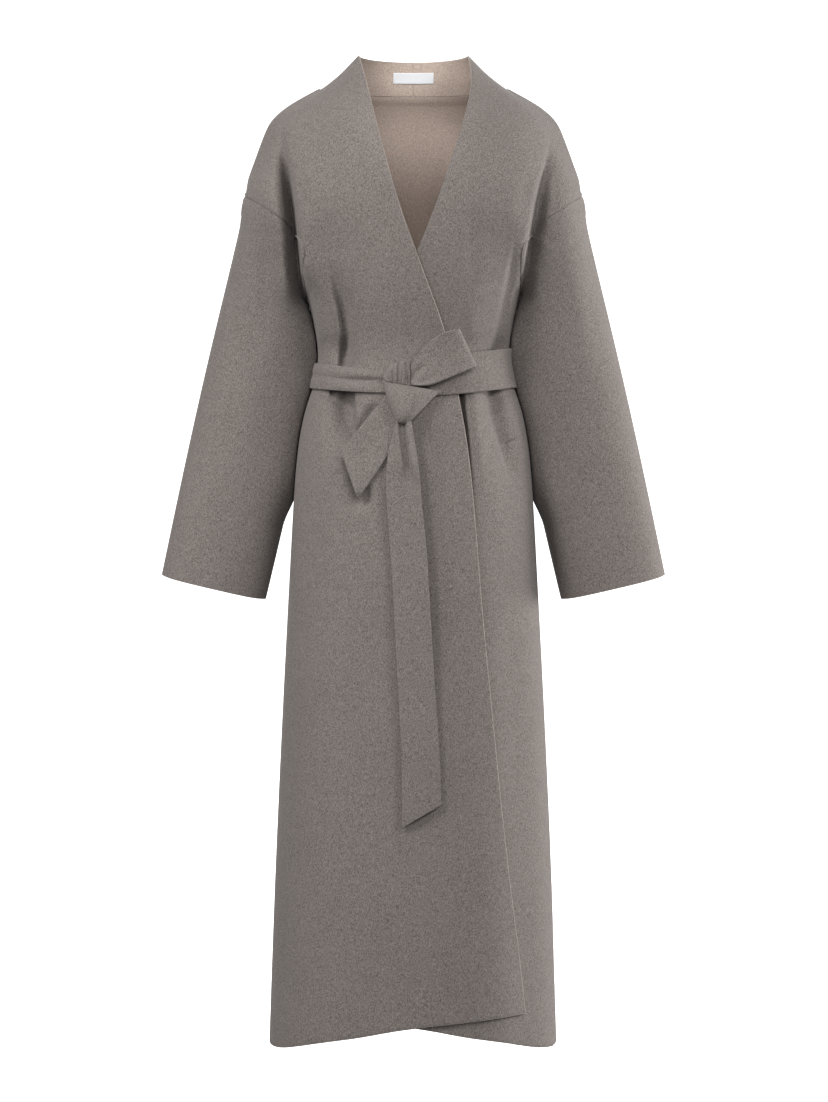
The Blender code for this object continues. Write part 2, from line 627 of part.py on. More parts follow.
def off_the_coat(x, height, out):
    """The y of points that stand off the coat's outer face under the tie, with no folds."""
    around = angle_at(x, height)
    middle = body_points(around, height, wrap_lift, folded=False)
    facing = body_facing(around, height, wrap_lift, folded=False)
    return middle[..., 1] + (CLOTH / 2 + out) / facing[..., 1]


def belt_envelope(around, height):
    """The stand-off of the top front, let down gently past its edge, for what lies over both fronts."""
    x = plain_radius(around, height) * np.cos(around)
    past_edge = (x + RIGHT_EDGE(height)) / BELT_ENVELOPE
    front = np.where(np.sin(around) > 0, 1.0, 0.0)
    return front * wrap_lift(np.clip(around, 0, math.pi), height) * (1 - soft_step(past_edge))


def belt_waist(name, wool):
    """The belt round the waist, from under the knot by the right side and the back to the knot again."""
    curves = table_curves(BELT_POINTS, "degrees")
    degrees = np.linspace(BELT_POINTS[0].degrees, BELT_POINTS[-1].degrees, BELT_STEPS + 1)
    across = np.linspace(-1, 1, BELT_BANDS + 1)
    height = curves["height"](degrees)[:, None] + curves["half_height"](degrees)[:, None] * across[None, :]
    around = np.radians(degrees)[:, None] + np.zeros(BELT_BANDS + 1)[None, :]
    around = (around + math.pi) % (2 * math.pi) - math.pi
    plain = plain_radius(around, height) + belt_envelope(around, height)
    stand_off = CLOTH / 2 + LAY_GAP + BELT_CLOTH / 2
    rolls = curves["crease"](degrees)[:, None] * (1 - np.cos(2 * math.pi * across[None, :]))
    radius = plain + stand_off + rolls
    middle = np.stack([radius * np.cos(around), -radius * np.sin(around), height - HOLD_HEIGHT], axis=-1)
    return sheet_wall(name, middle, grid_facing(middle), BELT_CLOTH, wool)


def tie_points(row, columns, out):
    """Points across one piece of the tie, standing off the coat."""
    share = np.linspace(0, 1, columns + 1)
    x = row.x1 + (row.x2 - row.x1) * share
    height = row.height1 + (row.height2 - row.height1) * share
    return np.stack([x, off_the_coat(x, height, out), height - HOLD_HEIGHT], axis=-1)


def tie_tail(name, rows, wool):
    middle = np.array([tie_points(row, TAIL_COLUMNS, row.out) for row in rows])
    facing = grid_facing(middle)
    facing = facing * -np.sign(facing[..., 1:2])
    return sheet_wall(name, middle, facing, BELT_CLOTH, wool)


def tie_knot(name, wool):
    """The tongue of cloth that wraps over the front of the knot."""
    share = np.linspace(0, 1, KNOT_COLUMNS + 1)
    round_off = np.sin(math.pi * share) ** 0.5
    front, back = [], []
    for row in KNOT:
        swell = row.back + TIE_RIM + (row.front - row.back - TIE_RIM) * round_off
        front.append(tie_points(row, KNOT_COLUMNS, swell))
        back.append(tie_points(row, KNOT_COLUMNS, row.back))
    return closed_wall(name, np.array(front), np.array(back), wool)


def tie_gather(name, wool):
    """The strap that is drawn together into upright pleats over the knot."""
    curves = table_curves(GATHER, "x")
    front, back = [], []
    for x in np.linspace(GATHER[0].x, GATHER[-1].x, GATHER_STEPS + 1):
        share = (x - GATHER[0].x) / (GATHER[-1].x - GATHER[0].x)
        pleat = GATHER_PLEAT_DEPTH * math.cos(2 * math.pi * GATHER_PLEATS * share)
        row = TieRow(x, curves["low"](x), x, curves["high"](x), 0)
        roll = np.sin(math.pi * np.linspace(0.12, 0.88, GATHER_ROWS + 1)) ** 0.5
        behind = KNOT[0].back
        front.append(tie_points(row, GATHER_ROWS, behind + (curves["front"](x) + pleat - behind) * roll))
        back.append(tie_points(row, GATHER_ROWS, behind))
    return closed_wall(name, np.array(front), np.array(back), wool)


def tie_loop(name, wool):
    """The flattened loop of the bow: a front layer, the fold at its end and the layer behind."""
    front = [tie_points(row, LOOP_COLUMNS, row.front) for row in LOOP]
    behind = [tie_points(row, LOOP_COLUMNS, row.behind) for row in LOOP]
    reach = unit(front[-1] - front[-2])
    middle, half = (front[-1] + behind[-1]) / 2, (front[-1] - behind[-1]) / 2
    radius = np.linalg.norm(half, axis=-1, keepdims=True)
    turns = np.linspace(0, math.pi, LOOP_TURN_STEPS + 1)[1:-1]
    fold = [middle + half * math.cos(turn) + reach * radius * math.sin(turn) for turn in turns]
    points = np.array(front + fold + behind[::-1])
    facing = grid_facing(points)
    if facing[0, 0, 1] > 0:
        facing = -facing
    return sheet_wall(name, points, facing, BELT_CLOTH, wool)


def neck_label(name, plain_white):
    """A bare label, sewn to the inside of the collar across its centre back seam."""
    x = np.linspace(-LABEL_WIDTH / 2, LABEL_WIDTH / 2, 7)[None, :]
    height = np.linspace(LABEL_LOW, LABEL_HIGH, 3)[:, None]
    x, height = np.broadcast_arrays(x, height)
    around = angle_at(x, height, back=True)
    facing = body_facing(around, height)
    inside = body_points(around, height) - facing * (CLOTH / 2 + SEAM_GAP)
    return closed_wall(name, inside, inside - facing * LABEL_CLOTH, plain_white)


def main():
    for old in list(bpy.data.objects):
        bpy.data.objects.remove(old)
    wool = material("wool", WOOL_COLOUR, 0.95)
    plain_white = material("label_white", LABEL_COLOUR, 0.6)
    rings = {side: sleeve_rings(side) for side in (1, -1)}
    ring_facing = {side: sleeve_facings(rings[side], side)[0] for side in (1, -1)}
    front_edge = slice(0, ARMHOLE_STEPS + 1)
    back_edge = [0] + list(range(-1, -ARMHOLE_STEPS, -1)) + [ARMHOLE_STEPS]
    front_panel("front_left", 1, LEFT_EDGE, no_lift, ring_facing[1][front_edge], wool)
    front_panel("front_right", -1, RIGHT_EDGE, wrap_lift, ring_facing[-1][front_edge], wool)
    back_panel("back", {side: ring_facing[side][back_edge] for side in (1, -1)}, wool)
    sleeve("sleeve_left", 1, rings[1], armhole_facings(1), wool)
    sleeve("sleeve_right", -1, rings[-1], armhole_facings(-1), wool)
    belt_waist("belt_waist", wool)
    tie_knot("belt_knot", wool)
    tie_gather("belt_gather", wool)
    tie_loop("belt_loop", wool)
    tie_tail("belt_tail_short", SHORT_TAIL, wool)
    tie_tail("belt_tail_long", LONG_TAIL, wool)
    neck_label("neck_label", plain_white)


main()
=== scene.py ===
# %% [markdown]
# # A long wool wrap coat
# The coat is shown filled out as if worn, with nobody in it. It is cut from a double-faced wool, grey-taupe
# outside and beige inside, so it needs no lining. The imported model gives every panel, sleeve and length of
# belt as a thin solid in its place, and this script dresses each one: soft edges, creases, cloth and light.
# Loading the model comes first, because everything after it is placed on that frame.

# %% Load the frame
import math
from collections import Counter, namedtuple
import bpy
import numpy as np
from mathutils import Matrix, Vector
from mathutils.bvhtree import BVHTree
from mathutils.kdtree import KDTree


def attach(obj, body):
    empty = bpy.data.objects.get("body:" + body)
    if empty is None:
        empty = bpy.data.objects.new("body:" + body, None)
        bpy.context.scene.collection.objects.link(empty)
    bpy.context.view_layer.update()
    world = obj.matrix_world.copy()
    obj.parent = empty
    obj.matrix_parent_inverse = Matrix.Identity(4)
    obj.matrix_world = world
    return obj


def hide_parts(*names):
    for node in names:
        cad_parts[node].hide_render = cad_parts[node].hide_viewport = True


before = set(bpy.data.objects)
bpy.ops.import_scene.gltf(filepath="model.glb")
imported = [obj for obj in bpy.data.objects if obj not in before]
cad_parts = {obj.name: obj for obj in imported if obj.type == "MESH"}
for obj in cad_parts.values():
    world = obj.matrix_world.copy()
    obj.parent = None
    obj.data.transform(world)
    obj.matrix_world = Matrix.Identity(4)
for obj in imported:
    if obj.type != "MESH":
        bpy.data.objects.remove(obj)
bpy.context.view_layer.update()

# %% [markdown]
# # The camera
# The picture was taken from straight in front with a long lens, level with the middle of the coat, so
# upright lines stay upright. The eye stands 4.5 m away, and the lens is chosen so that the height of the
# picture takes in a known height of the coat. A camera could also be turned by eye until it fits, but a level
# one that is placed by numbers needs no turning.

# %% Camera
HOLD_HEIGHT = 1.270       # the frame's origin stands this far above the level of the hem
EYE_DISTANCE = 4.5
EYE_HEIGHT = 0.667
EYE_SIDE = 0.0008
PICTURE_HEIGHT = 1.4877   # metres of the coat from the picture's top to its bottom
SENSOR = 24               # millimetres

bpy.ops.object.select_all(action="DESELECT")
eye = (EYE_SIDE, -EYE_DISTANCE, EYE_HEIGHT - HOLD_HEIGHT)
bpy.ops.object.camera_add(location=eye, rotation=(math.pi / 2, 0, 0))
camera = bpy.context.object
camera.data.sensor_fit = "VERTICAL"
camera.data.sensor_height = SENSOR
camera.data.lens = SENSOR * EYE_DISTANCE / PICTURE_HEIGHT
bpy.context.scene.camera = camera
print("lens", round(camera.data.lens, 2), "mm")

# %% [markdown]
# # The cloth's two faces
# Double-faced wool is two thin cloths bound back to back. The outer one is a melange: light and dark fibres
# are mixed before spinning, so close up it is speckled, and a short brushed nap softens it. The speckle could
# be painted on a picture, but noise in the object's own space needs no unwrapping and is the same size on
# every piece. The noise is stretched along the coat, as the brushed fibres lie. Fine noise drives the bump of
# the nap, and a slow one keeps large areas from looking printed. At a raw edge both faces show, so the rims
# get a third mixture, between the two.

# %% Wool
FIBRE_GRAIN = 820         # noise cells to the metre, so a speckle is about 1.2 mm
FIBRE_STRETCH = 0.6       # fewer cells along the coat, so the speckles are longer that way
NAP_GRAIN = 1500
NAP_HEIGHT = 0.0006
CLOUD_GRAIN = 14
CLOUD_SHARE = 0.05


def wool(name, dark, light, sheen):
    """A napped wool whose fibres run from one colour to the other."""
    material = bpy.data.materials.new(name)
    material.use_nodes = True
    nodes = material.node_tree.nodes
    links = material.node_tree.links
    shader = nodes["Principled BSDF"]
    shader.inputs["Roughness"].default_value = 0.92
    shader.inputs["Specular IOR Level"].default_value = 0.15
    shader.inputs["Sheen Weight"].default_value = sheen
    shader.inputs["Sheen Roughness"].default_value = 0.45
    place = nodes.new("ShaderNodeTexCoord")
    along = nodes.new("ShaderNodeMapping")
    along.inputs["Scale"].default_value = (1.0, 1.0, FIBRE_STRETCH)
    links.new(place.outputs["Object"], along.inputs["Vector"])

    fibres = nodes.new("ShaderNodeTexNoise")
    fibres.inputs["Scale"].default_value = FIBRE_GRAIN
    fibres.inputs["Detail"].default_value = 3.0
    fibres.inputs["Roughness"].default_value = 0.65
    links.new(along.outputs["Vector"], fibres.inputs["Vector"])
    clouds = nodes.new("ShaderNodeTexNoise")
    clouds.inputs["Scale"].default_value = CLOUD_GRAIN
    clouds.inputs["Detail"].default_value = 5.0
    links.new(place.outputs["Object"], clouds.inputs["Vector"])
    blend = nodes.new("ShaderNodeMix")
    blend.inputs["Factor"].default_value = CLOUD_SHARE
    links.new(fibres.outputs["Fac"], blend.inputs[2])
    links.new(clouds.outputs["Fac"], blend.inputs[3])

    colours = nodes.new("ShaderNodeValToRGB")
    colours.color_ramp.elements[0].position = 0.33
    colours.color_ramp.elements[0].color = (*dark, 1)
    colours.color_ramp.elements[1].position = 0.67
    colours.color_ramp.elements[1].color = (*light, 1)
    links.new(blend.outputs[0], colours.inputs["Fac"])
    links.new(colours.outputs["Color"], shader.inputs["Base Color"])

    nap = nodes.new("ShaderNodeTexNoise")
    nap.inputs["Scale"].default_value = NAP_GRAIN
    nap.inputs["Detail"].default_value = 3.0
    links.new(along.outputs["Vector"], nap.inputs["Vector"])
    raise_nap = nodes.new("ShaderNodeBump")
    raise_nap.inputs["Strength"].default_value = 0.35
    raise_nap.inputs["Distance"].default_value = NAP_HEIGHT
    links.new(nap.outputs["Fac"], raise_nap.inputs["Height"])
    links.new(raise_nap.outputs["Normal"], shader.inputs["Normal"])
    return material


OUTER_WOOL = wool("outer_wool", dark=(0.085, 0.073, 0.067), light=(0.260, 0.230, 0.212), sheen=0.10)
INNER_WOOL = wool("inner_wool", dark=(0.340, 0.270, 0.228), light=(0.600, 0.490, 0.422), sheen=0.10)
# the paler colour of a cut edge; on the flat tails of the belt it also stands for a painted highlight
EDGE_WOOL = wool("edge_wool", dark=(0.200, 0.168, 0.150), light=(0.400, 0.345, 0.310), sheen=0.15)
print("made", [material.name for material in (OUTER_WOOL, INNER_WOOL, EDGE_WOOL)])

# %% [markdown]
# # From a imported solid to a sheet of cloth
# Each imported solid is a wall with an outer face, an inner face and a narrow rim. A cloth could be simulated,
# but the coat has been arranged for its picture, and a simulation would fall its own way. So the outer face
# alone is copied, merged into one skin of four-sided faces and smoothed by subdivision. Its creases are
# pressed in while it is a single sheet, and it gets its thickness back later, so the two faces can never cut
# through each other. The outer face is found by growing a selection from its largest face over all that is
# nearly flat, which stops at the rim.

# %% Sheets from solids
RIM_ANGLE = math.radians(52)
QUAD_FOLD = math.radians(70)      # two triangles that meet this flat or flatter
QUAD_SHAPE = math.radians(100)    # and make a corner this close to square become one face
SEAM_REACH = 2e-5
HOLE_SIDES = 8            # a slip of a face that the selection misses leaves a small hole
SHEET_LEVELS = 3


def only(piece):
    """Select one object alone and make it active."""
    bpy.ops.object.select_all(action="DESELECT")
    piece.select_set(True)
    bpy.context.view_layer.objects.active = piece


def points_of(piece):
    """The vertices of a piece as rows of x, y, z."""
    flat = np.empty(len(piece.data.vertices) * 3)
    piece.data.vertices.foreach_get("co", flat)
    return flat.reshape(-1, 3)


def set_points(piece, points):
    """Move the vertices of a piece to new places."""
    piece.data.vertices.foreach_set("co", points.ravel())
    piece.data.update()


def soft_step(share):
    """A step from 0 to 1 with soft ends."""
    share = np.clip(share, 0, 1)
    return share * share * (3 - 2 * share)


def copy_solid(node, name):
    """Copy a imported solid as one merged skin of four-sided faces."""
    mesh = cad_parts[node].data.copy()
    piece = bpy.data.objects.new(name, mesh)
    bpy.context.scene.collection.objects.link(piece)
    only(piece)
    mesh.materials.clear()
    bpy.ops.mesh.customdata_custom_splitnormals_clear()
    bpy.ops.object.mode_set(mode="EDIT")
    bpy.ops.mesh.select_mode(type="FACE")
    bpy.ops.mesh.select_all(action="SELECT")
    bpy.ops.mesh.remove_doubles(threshold=SEAM_REACH)
    bpy.ops.mesh.tris_convert_to_quads(
        face_threshold=QUAD_FOLD, shape_threshold=QUAD_SHAPE, topology_influence=1.0)
    bpy.ops.object.mode_set(mode="OBJECT")
    return piece


def smooth(piece, levels):
    """Subdivide a piece and shade it smooth."""
    bpy.ops.object.modifier_add(type="SUBSURF")
    piece.modifiers[-1].levels = levels
    piece.modifiers[-1].render_levels = levels
    piece.modifiers[-1].boundary_smooth = "PRESERVE_CORNERS"
    bpy.ops.object.modifier_apply(modifier=piece.modifiers[-1].name)
    bpy.ops.object.shade_smooth()


def outer_sheet(node, name, middle):
    """The outer face of a packed wall as a single smooth sheet that looks away from its middle line."""
    piece = copy_solid(node, name)
    faces = piece.data.polygons
    looks_out = [face.normal.dot(face.center - middle(face.center)) > 0 for face in faces]
    seed = max((face.index for face in faces if looks_out[face.index]), key=lambda index: faces[index].area)
    for face in faces:
        face.select = face.index == seed
    faces.active = seed
    bpy.ops.object.mode_set(mode="EDIT")
    bpy.ops.mesh.faces_select_linked_flat(sharpness=RIM_ANGLE)
    bpy.ops.mesh.select_all(action="INVERT")
    bpy.ops.mesh.delete(type="FACE")
    bpy.ops.mesh.select_all(action="SELECT")
    bpy.ops.mesh.fill_holes(sides=HOLE_SIDES)
    bpy.ops.object.mode_set(mode="OBJECT")
    smooth(piece, SHEET_LEVELS)
    print(piece.name, "is a sheet of", len(piece.data.polygons), "faces")
    return piece


# %% [markdown]
# # Creases
# Where the belt draws the coat in, the cloth above and below it folds into soft pleats, and at each armhole a
# deep valley parts the front from the sleeve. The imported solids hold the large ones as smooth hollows. What
# is missing is their character: a pleat has one steep side, where the cloth doubles over, and one side that
# runs out softly. Sculpting them with a brush needs a window, so each crease is a line drawn on the front or
# back of the coat, by its distance to the side and its height. It has a half width on each side, a depth, and
# the lengths over which it fades at its start and its end. On a line drawn downwards, left is towards -X, and
# on a line drawn towards +X, left is below. A crease with a negative depth is a ridge. Where a side is steep,
# the faces near the line are split first, so that the step comes out clear.

# %% Pressing creases
FRONT, BACK = -1, 1
NO_FADE = 1e-6
TURN_START = 0.012        # a crease fades out where the cloth turns to the other side of the coat
TURN_REACH = 0.040
SKIN_TURN = 0.6           # the outer skin is pressed in full where its normal looks this far ahead
Crease = namedtuple("Crease", "line left right depth fade_start fade_end")


def crease_depth(x, height, crease):
    """How deep a crease is at each place."""
    nearest_gap = np.full(len(x), np.inf)
    side = np.zeros(len(x))
    along = np.zeros(len(x))
    passed = 0.0
    for (x0, h0), (x1, h1) in zip(crease.line[:-1], crease.line[1:]):
        run_x, run_h = x1 - x0, h1 - h0
        length = math.hypot(run_x, run_h)
        share = np.clip(((x - x0) * run_x + (height - h0) * run_h) / length ** 2, 0, 1)
        off_x = x - x0 - share * run_x
        off_h = height - h0 - share * run_h
        gap = np.hypot(off_x, off_h)
        nearer = gap < nearest_gap
        side[nearer] = (run_x * off_h - run_h * off_x)[nearer]
        along[nearer] = (passed + share * length)[nearer]
        nearest_gap = np.minimum(gap, nearest_gap)
        passed += length
    reach = np.where(side < 0, crease.left, crease.right)
    shown = soft_step(along / crease.fade_start) * soft_step((passed - along) / crease.fade_end)
    return crease.depth * shown * np.exp(-((nearest_gap / reach) ** 2))


def refine(piece, creases, reach, facing):
    """Split the faces near some creases in four, so that their steep sides come out clear."""
    centres = np.array([face.center for face in piece.data.polygons])
    near = np.zeros(len(centres), dtype=bool)
    for crease in creases:
        band = crease._replace(left=reach, right=reach, depth=1, fade_start=NO_FADE, fade_end=NO_FADE)
        near |= crease_depth(centres[:, 0], centres[:, 2] + HOLD_HEIGHT, band) > math.exp(-1)
    near &= centres[:, 1] * facing > 0
    only(piece)
    bpy.ops.object.mode_set(mode="EDIT")
    bpy.ops.mesh.select_mode(type="FACE")
    bpy.ops.mesh.select_all(action="DESELECT")
    bpy.ops.object.mode_set(mode="OBJECT")
    piece.data.polygons.foreach_set("select", near)
    bpy.ops.object.mode_set(mode="EDIT")
    bpy.ops.mesh.subdivide(number_cuts=1)
    bpy.ops.object.mode_set(mode="OBJECT")


def press_creases(piece, creases, facing, skin_only=False):
    """Press creases straight into the front or the back of a piece, or into its outer skin alone."""
    points = points_of(piece)
    turned = soft_step((TURN_START + points[:, 1] * facing) / TURN_REACH)
    if skin_only:
        normals = np.empty(points.size)
        piece.data.vertex_normals.foreach_get("vector", normals)
        turned = soft_step(normals.reshape(-1, 3)[:, 1] * facing / SKIN_TURN)
    height = points[:, 2] + HOLD_HEIGHT
    depth = sum(crease_depth(points[:, 0], height, crease) for crease in creases)
    points[:, 1] -= facing * depth * turned
    set_points(piece, points)
    print(piece.name, "has creases up to", round(float(np.abs(depth * turned).max()) * 1000, 1), "mm deep")


# %% [markdown]
# # Back and fronts
# The back is one piece. Each front has half of the collar grown on to it, which runs round the neck to a seam
# at the centre back. The right front lies on top, and the dark gap beside its edge, just below the belt, is
# where the left front drops away behind it. The left front takes the creases of the top one too, so that it
# stays behind it. The pleats follow the pull of the belt: those above it lean in to the waist, those below
# it lean out again. The valley at the armhole is two creases in one, a broad one that turns the sleeve away
# and a narrow slit at its bottom. Before the creases, each front is pressed so that it falls evenly from the
# chest to the belt, and the front of its armhole is moved out to where the slit hides the seam. The back
# isn't seen in the picture, so its creases are of the same kind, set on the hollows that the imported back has.

# %% Creases of the body
# down the armholes, with the sleeve to the left of the line on one side and to the right on the other
LEFT_SLIT = (
    (-0.176, 1.250), (-0.1723, 1.208), (-0.1612, 1.121), (-0.1526, 1.037), (-0.1441, 0.983), (-0.137, 0.935),
)
RIGHT_SLIT = (
    (0.190, 1.250), (0.1820, 1.208), (0.1670, 1.136), (0.1567, 1.082), (0.1475, 1.028), (0.1413, 0.990),
    (0.134, 0.940),
)
ARMHOLE_SLITS = (
    Crease(LEFT_SLIT, 0.009, 0.0028, 0.042, 0.15, 0.05),
    Crease(RIGHT_SLIT, 0.0028, 0.012, 0.034, 0.24, 0.05),
)
ARMHOLE_CREASES = ARMHOLE_SLITS + (
    Crease(LEFT_SLIT, 0.034, 0.0060, 0.004, 0.13, 0.05),
    Crease(RIGHT_SLIT, 0.0060, 0.034, 0.010, 0.13, 0.05),
    # the chest and the sleeve stay full up to the edges of the valley
    Crease(((-0.163, 1.208), (-0.1515, 1.121), (-0.143, 1.037), (-0.136, 0.990)),
           0.004, 0.020, -0.008, 0.09, 0.06),
    Crease(((0.173, 1.208), (0.1575, 1.136), (0.1475, 1.082), (0.138, 1.028)),
           0.020, 0.004, -0.005, 0.09, 0.06),
    Crease(((-0.192, 1.200), (-0.181, 1.121), (-0.1726, 1.037), (-0.165, 0.983)),
           0.016, 0.008, -0.010, 0.08, 0.05),
)
TOP_FRONT_PLEATS = (
    # above the belt
    Crease(((-0.112, 1.050), (-0.095, 0.985), (-0.091, 0.955), (-0.096, 0.905)),
           0.0040, 0.015, 0.014, 0.07, 0.01),
    # below the belt: the pleat's hollow, its short left fold, and the hollow beside the short tail
    Crease(((-0.081, 0.905), (-0.079, 0.850), (-0.082, 0.775)), 0.022, 0.0022, 0.024, 0.01, 0.07),
    Crease(((-0.103, 0.905), (-0.110, 0.865)), 0.0030, 0.007, 0.008, 0.01, 0.02),
    Crease(((-0.043, 0.866), (-0.066, 0.832), (-0.085, 0.806)), 0.009, 0.012, 0.009, 0.02, 0.020),
    Crease(((-0.088, 0.800), (-0.0835, 0.778), (-0.076, 0.755), (-0.066, 0.732), (-0.060, 0.718)),
           0.010, 0.009, 0.013, 0.020, 0.02),
)
# the long soft hollow to the right of the hanging tail
TAIL_HOLLOW = Crease(((0.004, 0.850), (0.014, 0.740), (0.020, 0.600), (0.026, 0.430)),
                     0.014, 0.030, 0.007, 0.05, 0.16)
TOP_FRONT_CREASES = TOP_FRONT_PLEATS + (TAIL_HOLLOW,)
UNDER_FRONT_CREASES = (
    # above the belt
    Crease(((0.137, 1.085), (0.124, 1.015), (0.107, 0.930), (0.103, 0.905)),
           0.0040, 0.015, 0.013, 0.10, 0.01),
    # the gap beside the edge of the front that lies on top, and the ridge next to it
    Crease(((0.060, 0.900), (0.067, 0.830), (0.072, 0.770), (0.080, 0.660)),
           0.010, 0.0032, 0.020, 0.01, 0.20),
    Crease(((0.081, 0.890), (0.085, 0.830), (0.095, 0.740)), 0.009, 0.009, -0.004, 0.02, 0.08),
    # below the belt
    Crease(((0.097, 0.905), (0.102, 0.850), (0.121, 0.790), (0.136, 0.740)),
           0.0040, 0.016, 0.010, 0.01, 0.08),
    # the mouth of the pocket
    Crease(((0.1193, 0.808), (0.1483, 0.821)), 0.0016, 0.0016, 0.0024, 0.004, 0.004),
)
BACK_CREASES = (
    Crease(((-0.094, 1.075), (-0.089, 0.990), (-0.084, 0.900)), 0.004, 0.015, 0.008, 0.12, 0.01),
    Crease(((-0.030, 1.020), (-0.031, 0.900)), 0.012, 0.004, 0.006, 0.08, 0.01),
    Crease(((0.036, 1.040), (0.030, 0.900)), 0.004, 0.013, 0.007, 0.09, 0.01),
    Crease(((0.101, 1.065), (0.094, 0.980), (0.088, 0.900)), 0.014, 0.004, 0.009, 0.10, 0.01),
    Crease(((-0.088, 0.905), (-0.098, 0.760), (-0.108, 0.590)), 0.016, 0.004, 0.009, 0.01, 0.18),
    Crease(((-0.028, 0.905), (-0.036, 0.700)), 0.004, 0.014, 0.006, 0.01, 0.14),
    Crease(((0.034, 0.905), (0.040, 0.720), (0.044, 0.560)), 0.015, 0.004, 0.008, 0.01, 0.20),
    Crease(((0.092, 0.905), (0.106, 0.760), (0.117, 0.650)), 0.004, 0.015, 0.009, 0.01, 0.13),
)

# %% Shaping the fronts
CHEST_LEVEL = 1.150
CHEST_SIDE = 0.150        # how far from the middle the chest is read at that level
CHEST_SLOPE = 0.15        # share of the mean slope that the fall starts with
CHEST_FADE = 0.080
BELT_LEVEL = 0.930
BELT_SIDE = 0.120
BELT_FADE = 0.030
LEVEL_REACH = 0.006
FRONT_FACE = -0.010       # what lies ahead of this is the front of the body
FLAT_MIDDLE = 0.050       # nearer to the middle than this nothing is read
FLAT_START = 0.060
FLAT_FADE_IN = 0.020
FLAT_END = 0.130          # the pressed part ends here at the belt
FLAT_LEAN = 0.12          # and leans out by this share of the height above it
FLAT_FADE_OUT = 0.010
SEAM_TURN = 0.040
SEAM_WIDTH = 0.022
SeamShift = namedtuple("SeamShift", "x height reach amount")
SEAM_SHIFTS = (
    SeamShift(-0.150, 1.080, 0.040, -0.007),
    SeamShift(-0.142, 1.042, 0.026, -0.007),
    SeamShift(0.150, 1.080, 0.040, 0.007),
    SeamShift(0.142, 1.045, 0.028, 0.006),
)


def press_flat(piece):
    """Let a front fall smoothly from the chest to the belt, beside the armhole."""
    points = points_of(piece)
    out = np.abs(points[:, 0])
    height = points[:, 2] + HOLD_HEIGHT
    in_front = points[:, 1] < FRONT_FACE
    ends = []
    for level, side in ((CHEST_LEVEL, CHEST_SIDE), (BELT_LEVEL, BELT_SIDE)):
        rows = in_front & (np.abs(height - level) < LEVEL_REACH) & (out > FLAT_MIDDLE) & (out < side)
        ends.append(np.polyval(np.polyfit(out[rows], points[rows, 1], 2), out))
    fallen = np.clip((CHEST_LEVEL - height) / (CHEST_LEVEL - BELT_LEVEL), 0, 1)
    fall = CHEST_SLOPE * fallen + (1 - CHEST_SLOPE) * fallen ** 2
    straight = ends[0] + fall * (ends[1] - ends[0])
    edge = FLAT_END + (height - BELT_LEVEL) * FLAT_LEAN
    weights = soft_step((out - FLAT_START) / FLAT_FADE_IN) * soft_step((edge - out) / FLAT_FADE_OUT)
    weights *= soft_step((height - BELT_LEVEL) / BELT_FADE) * soft_step((CHEST_LEVEL - height) / CHEST_FADE)
    points[:, 1] += (straight - points[:, 1]) * weights * in_front
    set_points(piece, points)


def move_armhole_seam(piece):
    """Shift the front of the armhole outwards, to where the valley hides it."""
    points = points_of(piece)
    height = points[:, 2] + HOLD_HEIGHT
    in_front = soft_step(-points[:, 1] / SEAM_TURN)
    for shift in SEAM_SHIFTS:
        off_x = (points[:, 0] - shift.x) / SEAM_WIDTH
        off_height = (height - shift.height) / shift.reach
        points[:, 0] += shift.amount * np.exp(-off_x ** 2 - off_height ** 2) * in_front
    set_points(piece, points)


# %% Back and fronts
CENTRE_BACK_REACH = 0.0012
STEEP_REACH = 0.006


def body_middle(point):
    """The upright line down the middle of the coat."""
    return type(point)((0, 0, point.z))


back = outer_sheet("back", "back_cloth", body_middle)
front_left = outer_sheet("front_left", "front_left_cloth", body_middle)
front_right = outer_sheet("front_right", "front_right_cloth", body_middle)
for piece in (front_left, front_right):
    press_flat(piece)
    move_armhole_seam(piece)
refine(front_left, ARMHOLE_SLITS + UNDER_FRONT_CREASES, STEEP_REACH, FRONT)
refine(front_right, ARMHOLE_SLITS + TOP_FRONT_PLEATS, STEEP_REACH, FRONT)
press_creases(back, BACK_CREASES, BACK)
press_creases(front_left, ARMHOLE_CREASES + UNDER_FRONT_CREASES + TOP_FRONT_CREASES, FRONT)
press_creases(front_right, ARMHOLE_CREASES + TOP_FRONT_CREASES, FRONT)
for piece in (front_left, front_right):
    points = points_of(piece)
    centre_back = (np.abs(points[:, 0]) < CENTRE_BACK_REACH) & (points[:, 1] > 0)
    points[centre_back, 0] = 0
    set_points(piece, points)

# %% [markdown]
# # Sleeves
# A wide sleeve hangs from a dropped armhole, and its inner side lies behind the front, so no light shows
# between the two above the waist. It takes the same armhole creases as the fronts, because the valley runs
# across the seam. Then the front half of its inner side is drawn in and back, and in a few turns it is
# smoothed and set clear of the panels. Last it is sewn: its top rim is brought to the rims of the panels, and
# their rims to it, so the seam closes, and the cloth near the seam is eased along. The fronts are sewn to the
# back in the same way, with a fine groove down the side. Joining all the panels into one mesh would close the
# seams too, but then they would no longer be pieces.

# %% Sleeves as sheets
ARMHOLE_MIDDLE = (0.165, 0.020, 1.070 - HOLD_HEIGHT)
CUFF_MIDDLE = (0.268, 0.012, 0.615 - HOLD_HEIGHT)
SLEEVE_CREASES = (
    Crease(((-0.212, 1.120), (-0.217, 1.040), (-0.222, 0.940)), 0.022, 0.018, -0.005, 0.07, 0.08),
    Crease(((0.216, 1.100), (0.222, 1.030), (0.232, 0.900)), 0.018, 0.022, -0.004, 0.07, 0.10),
)


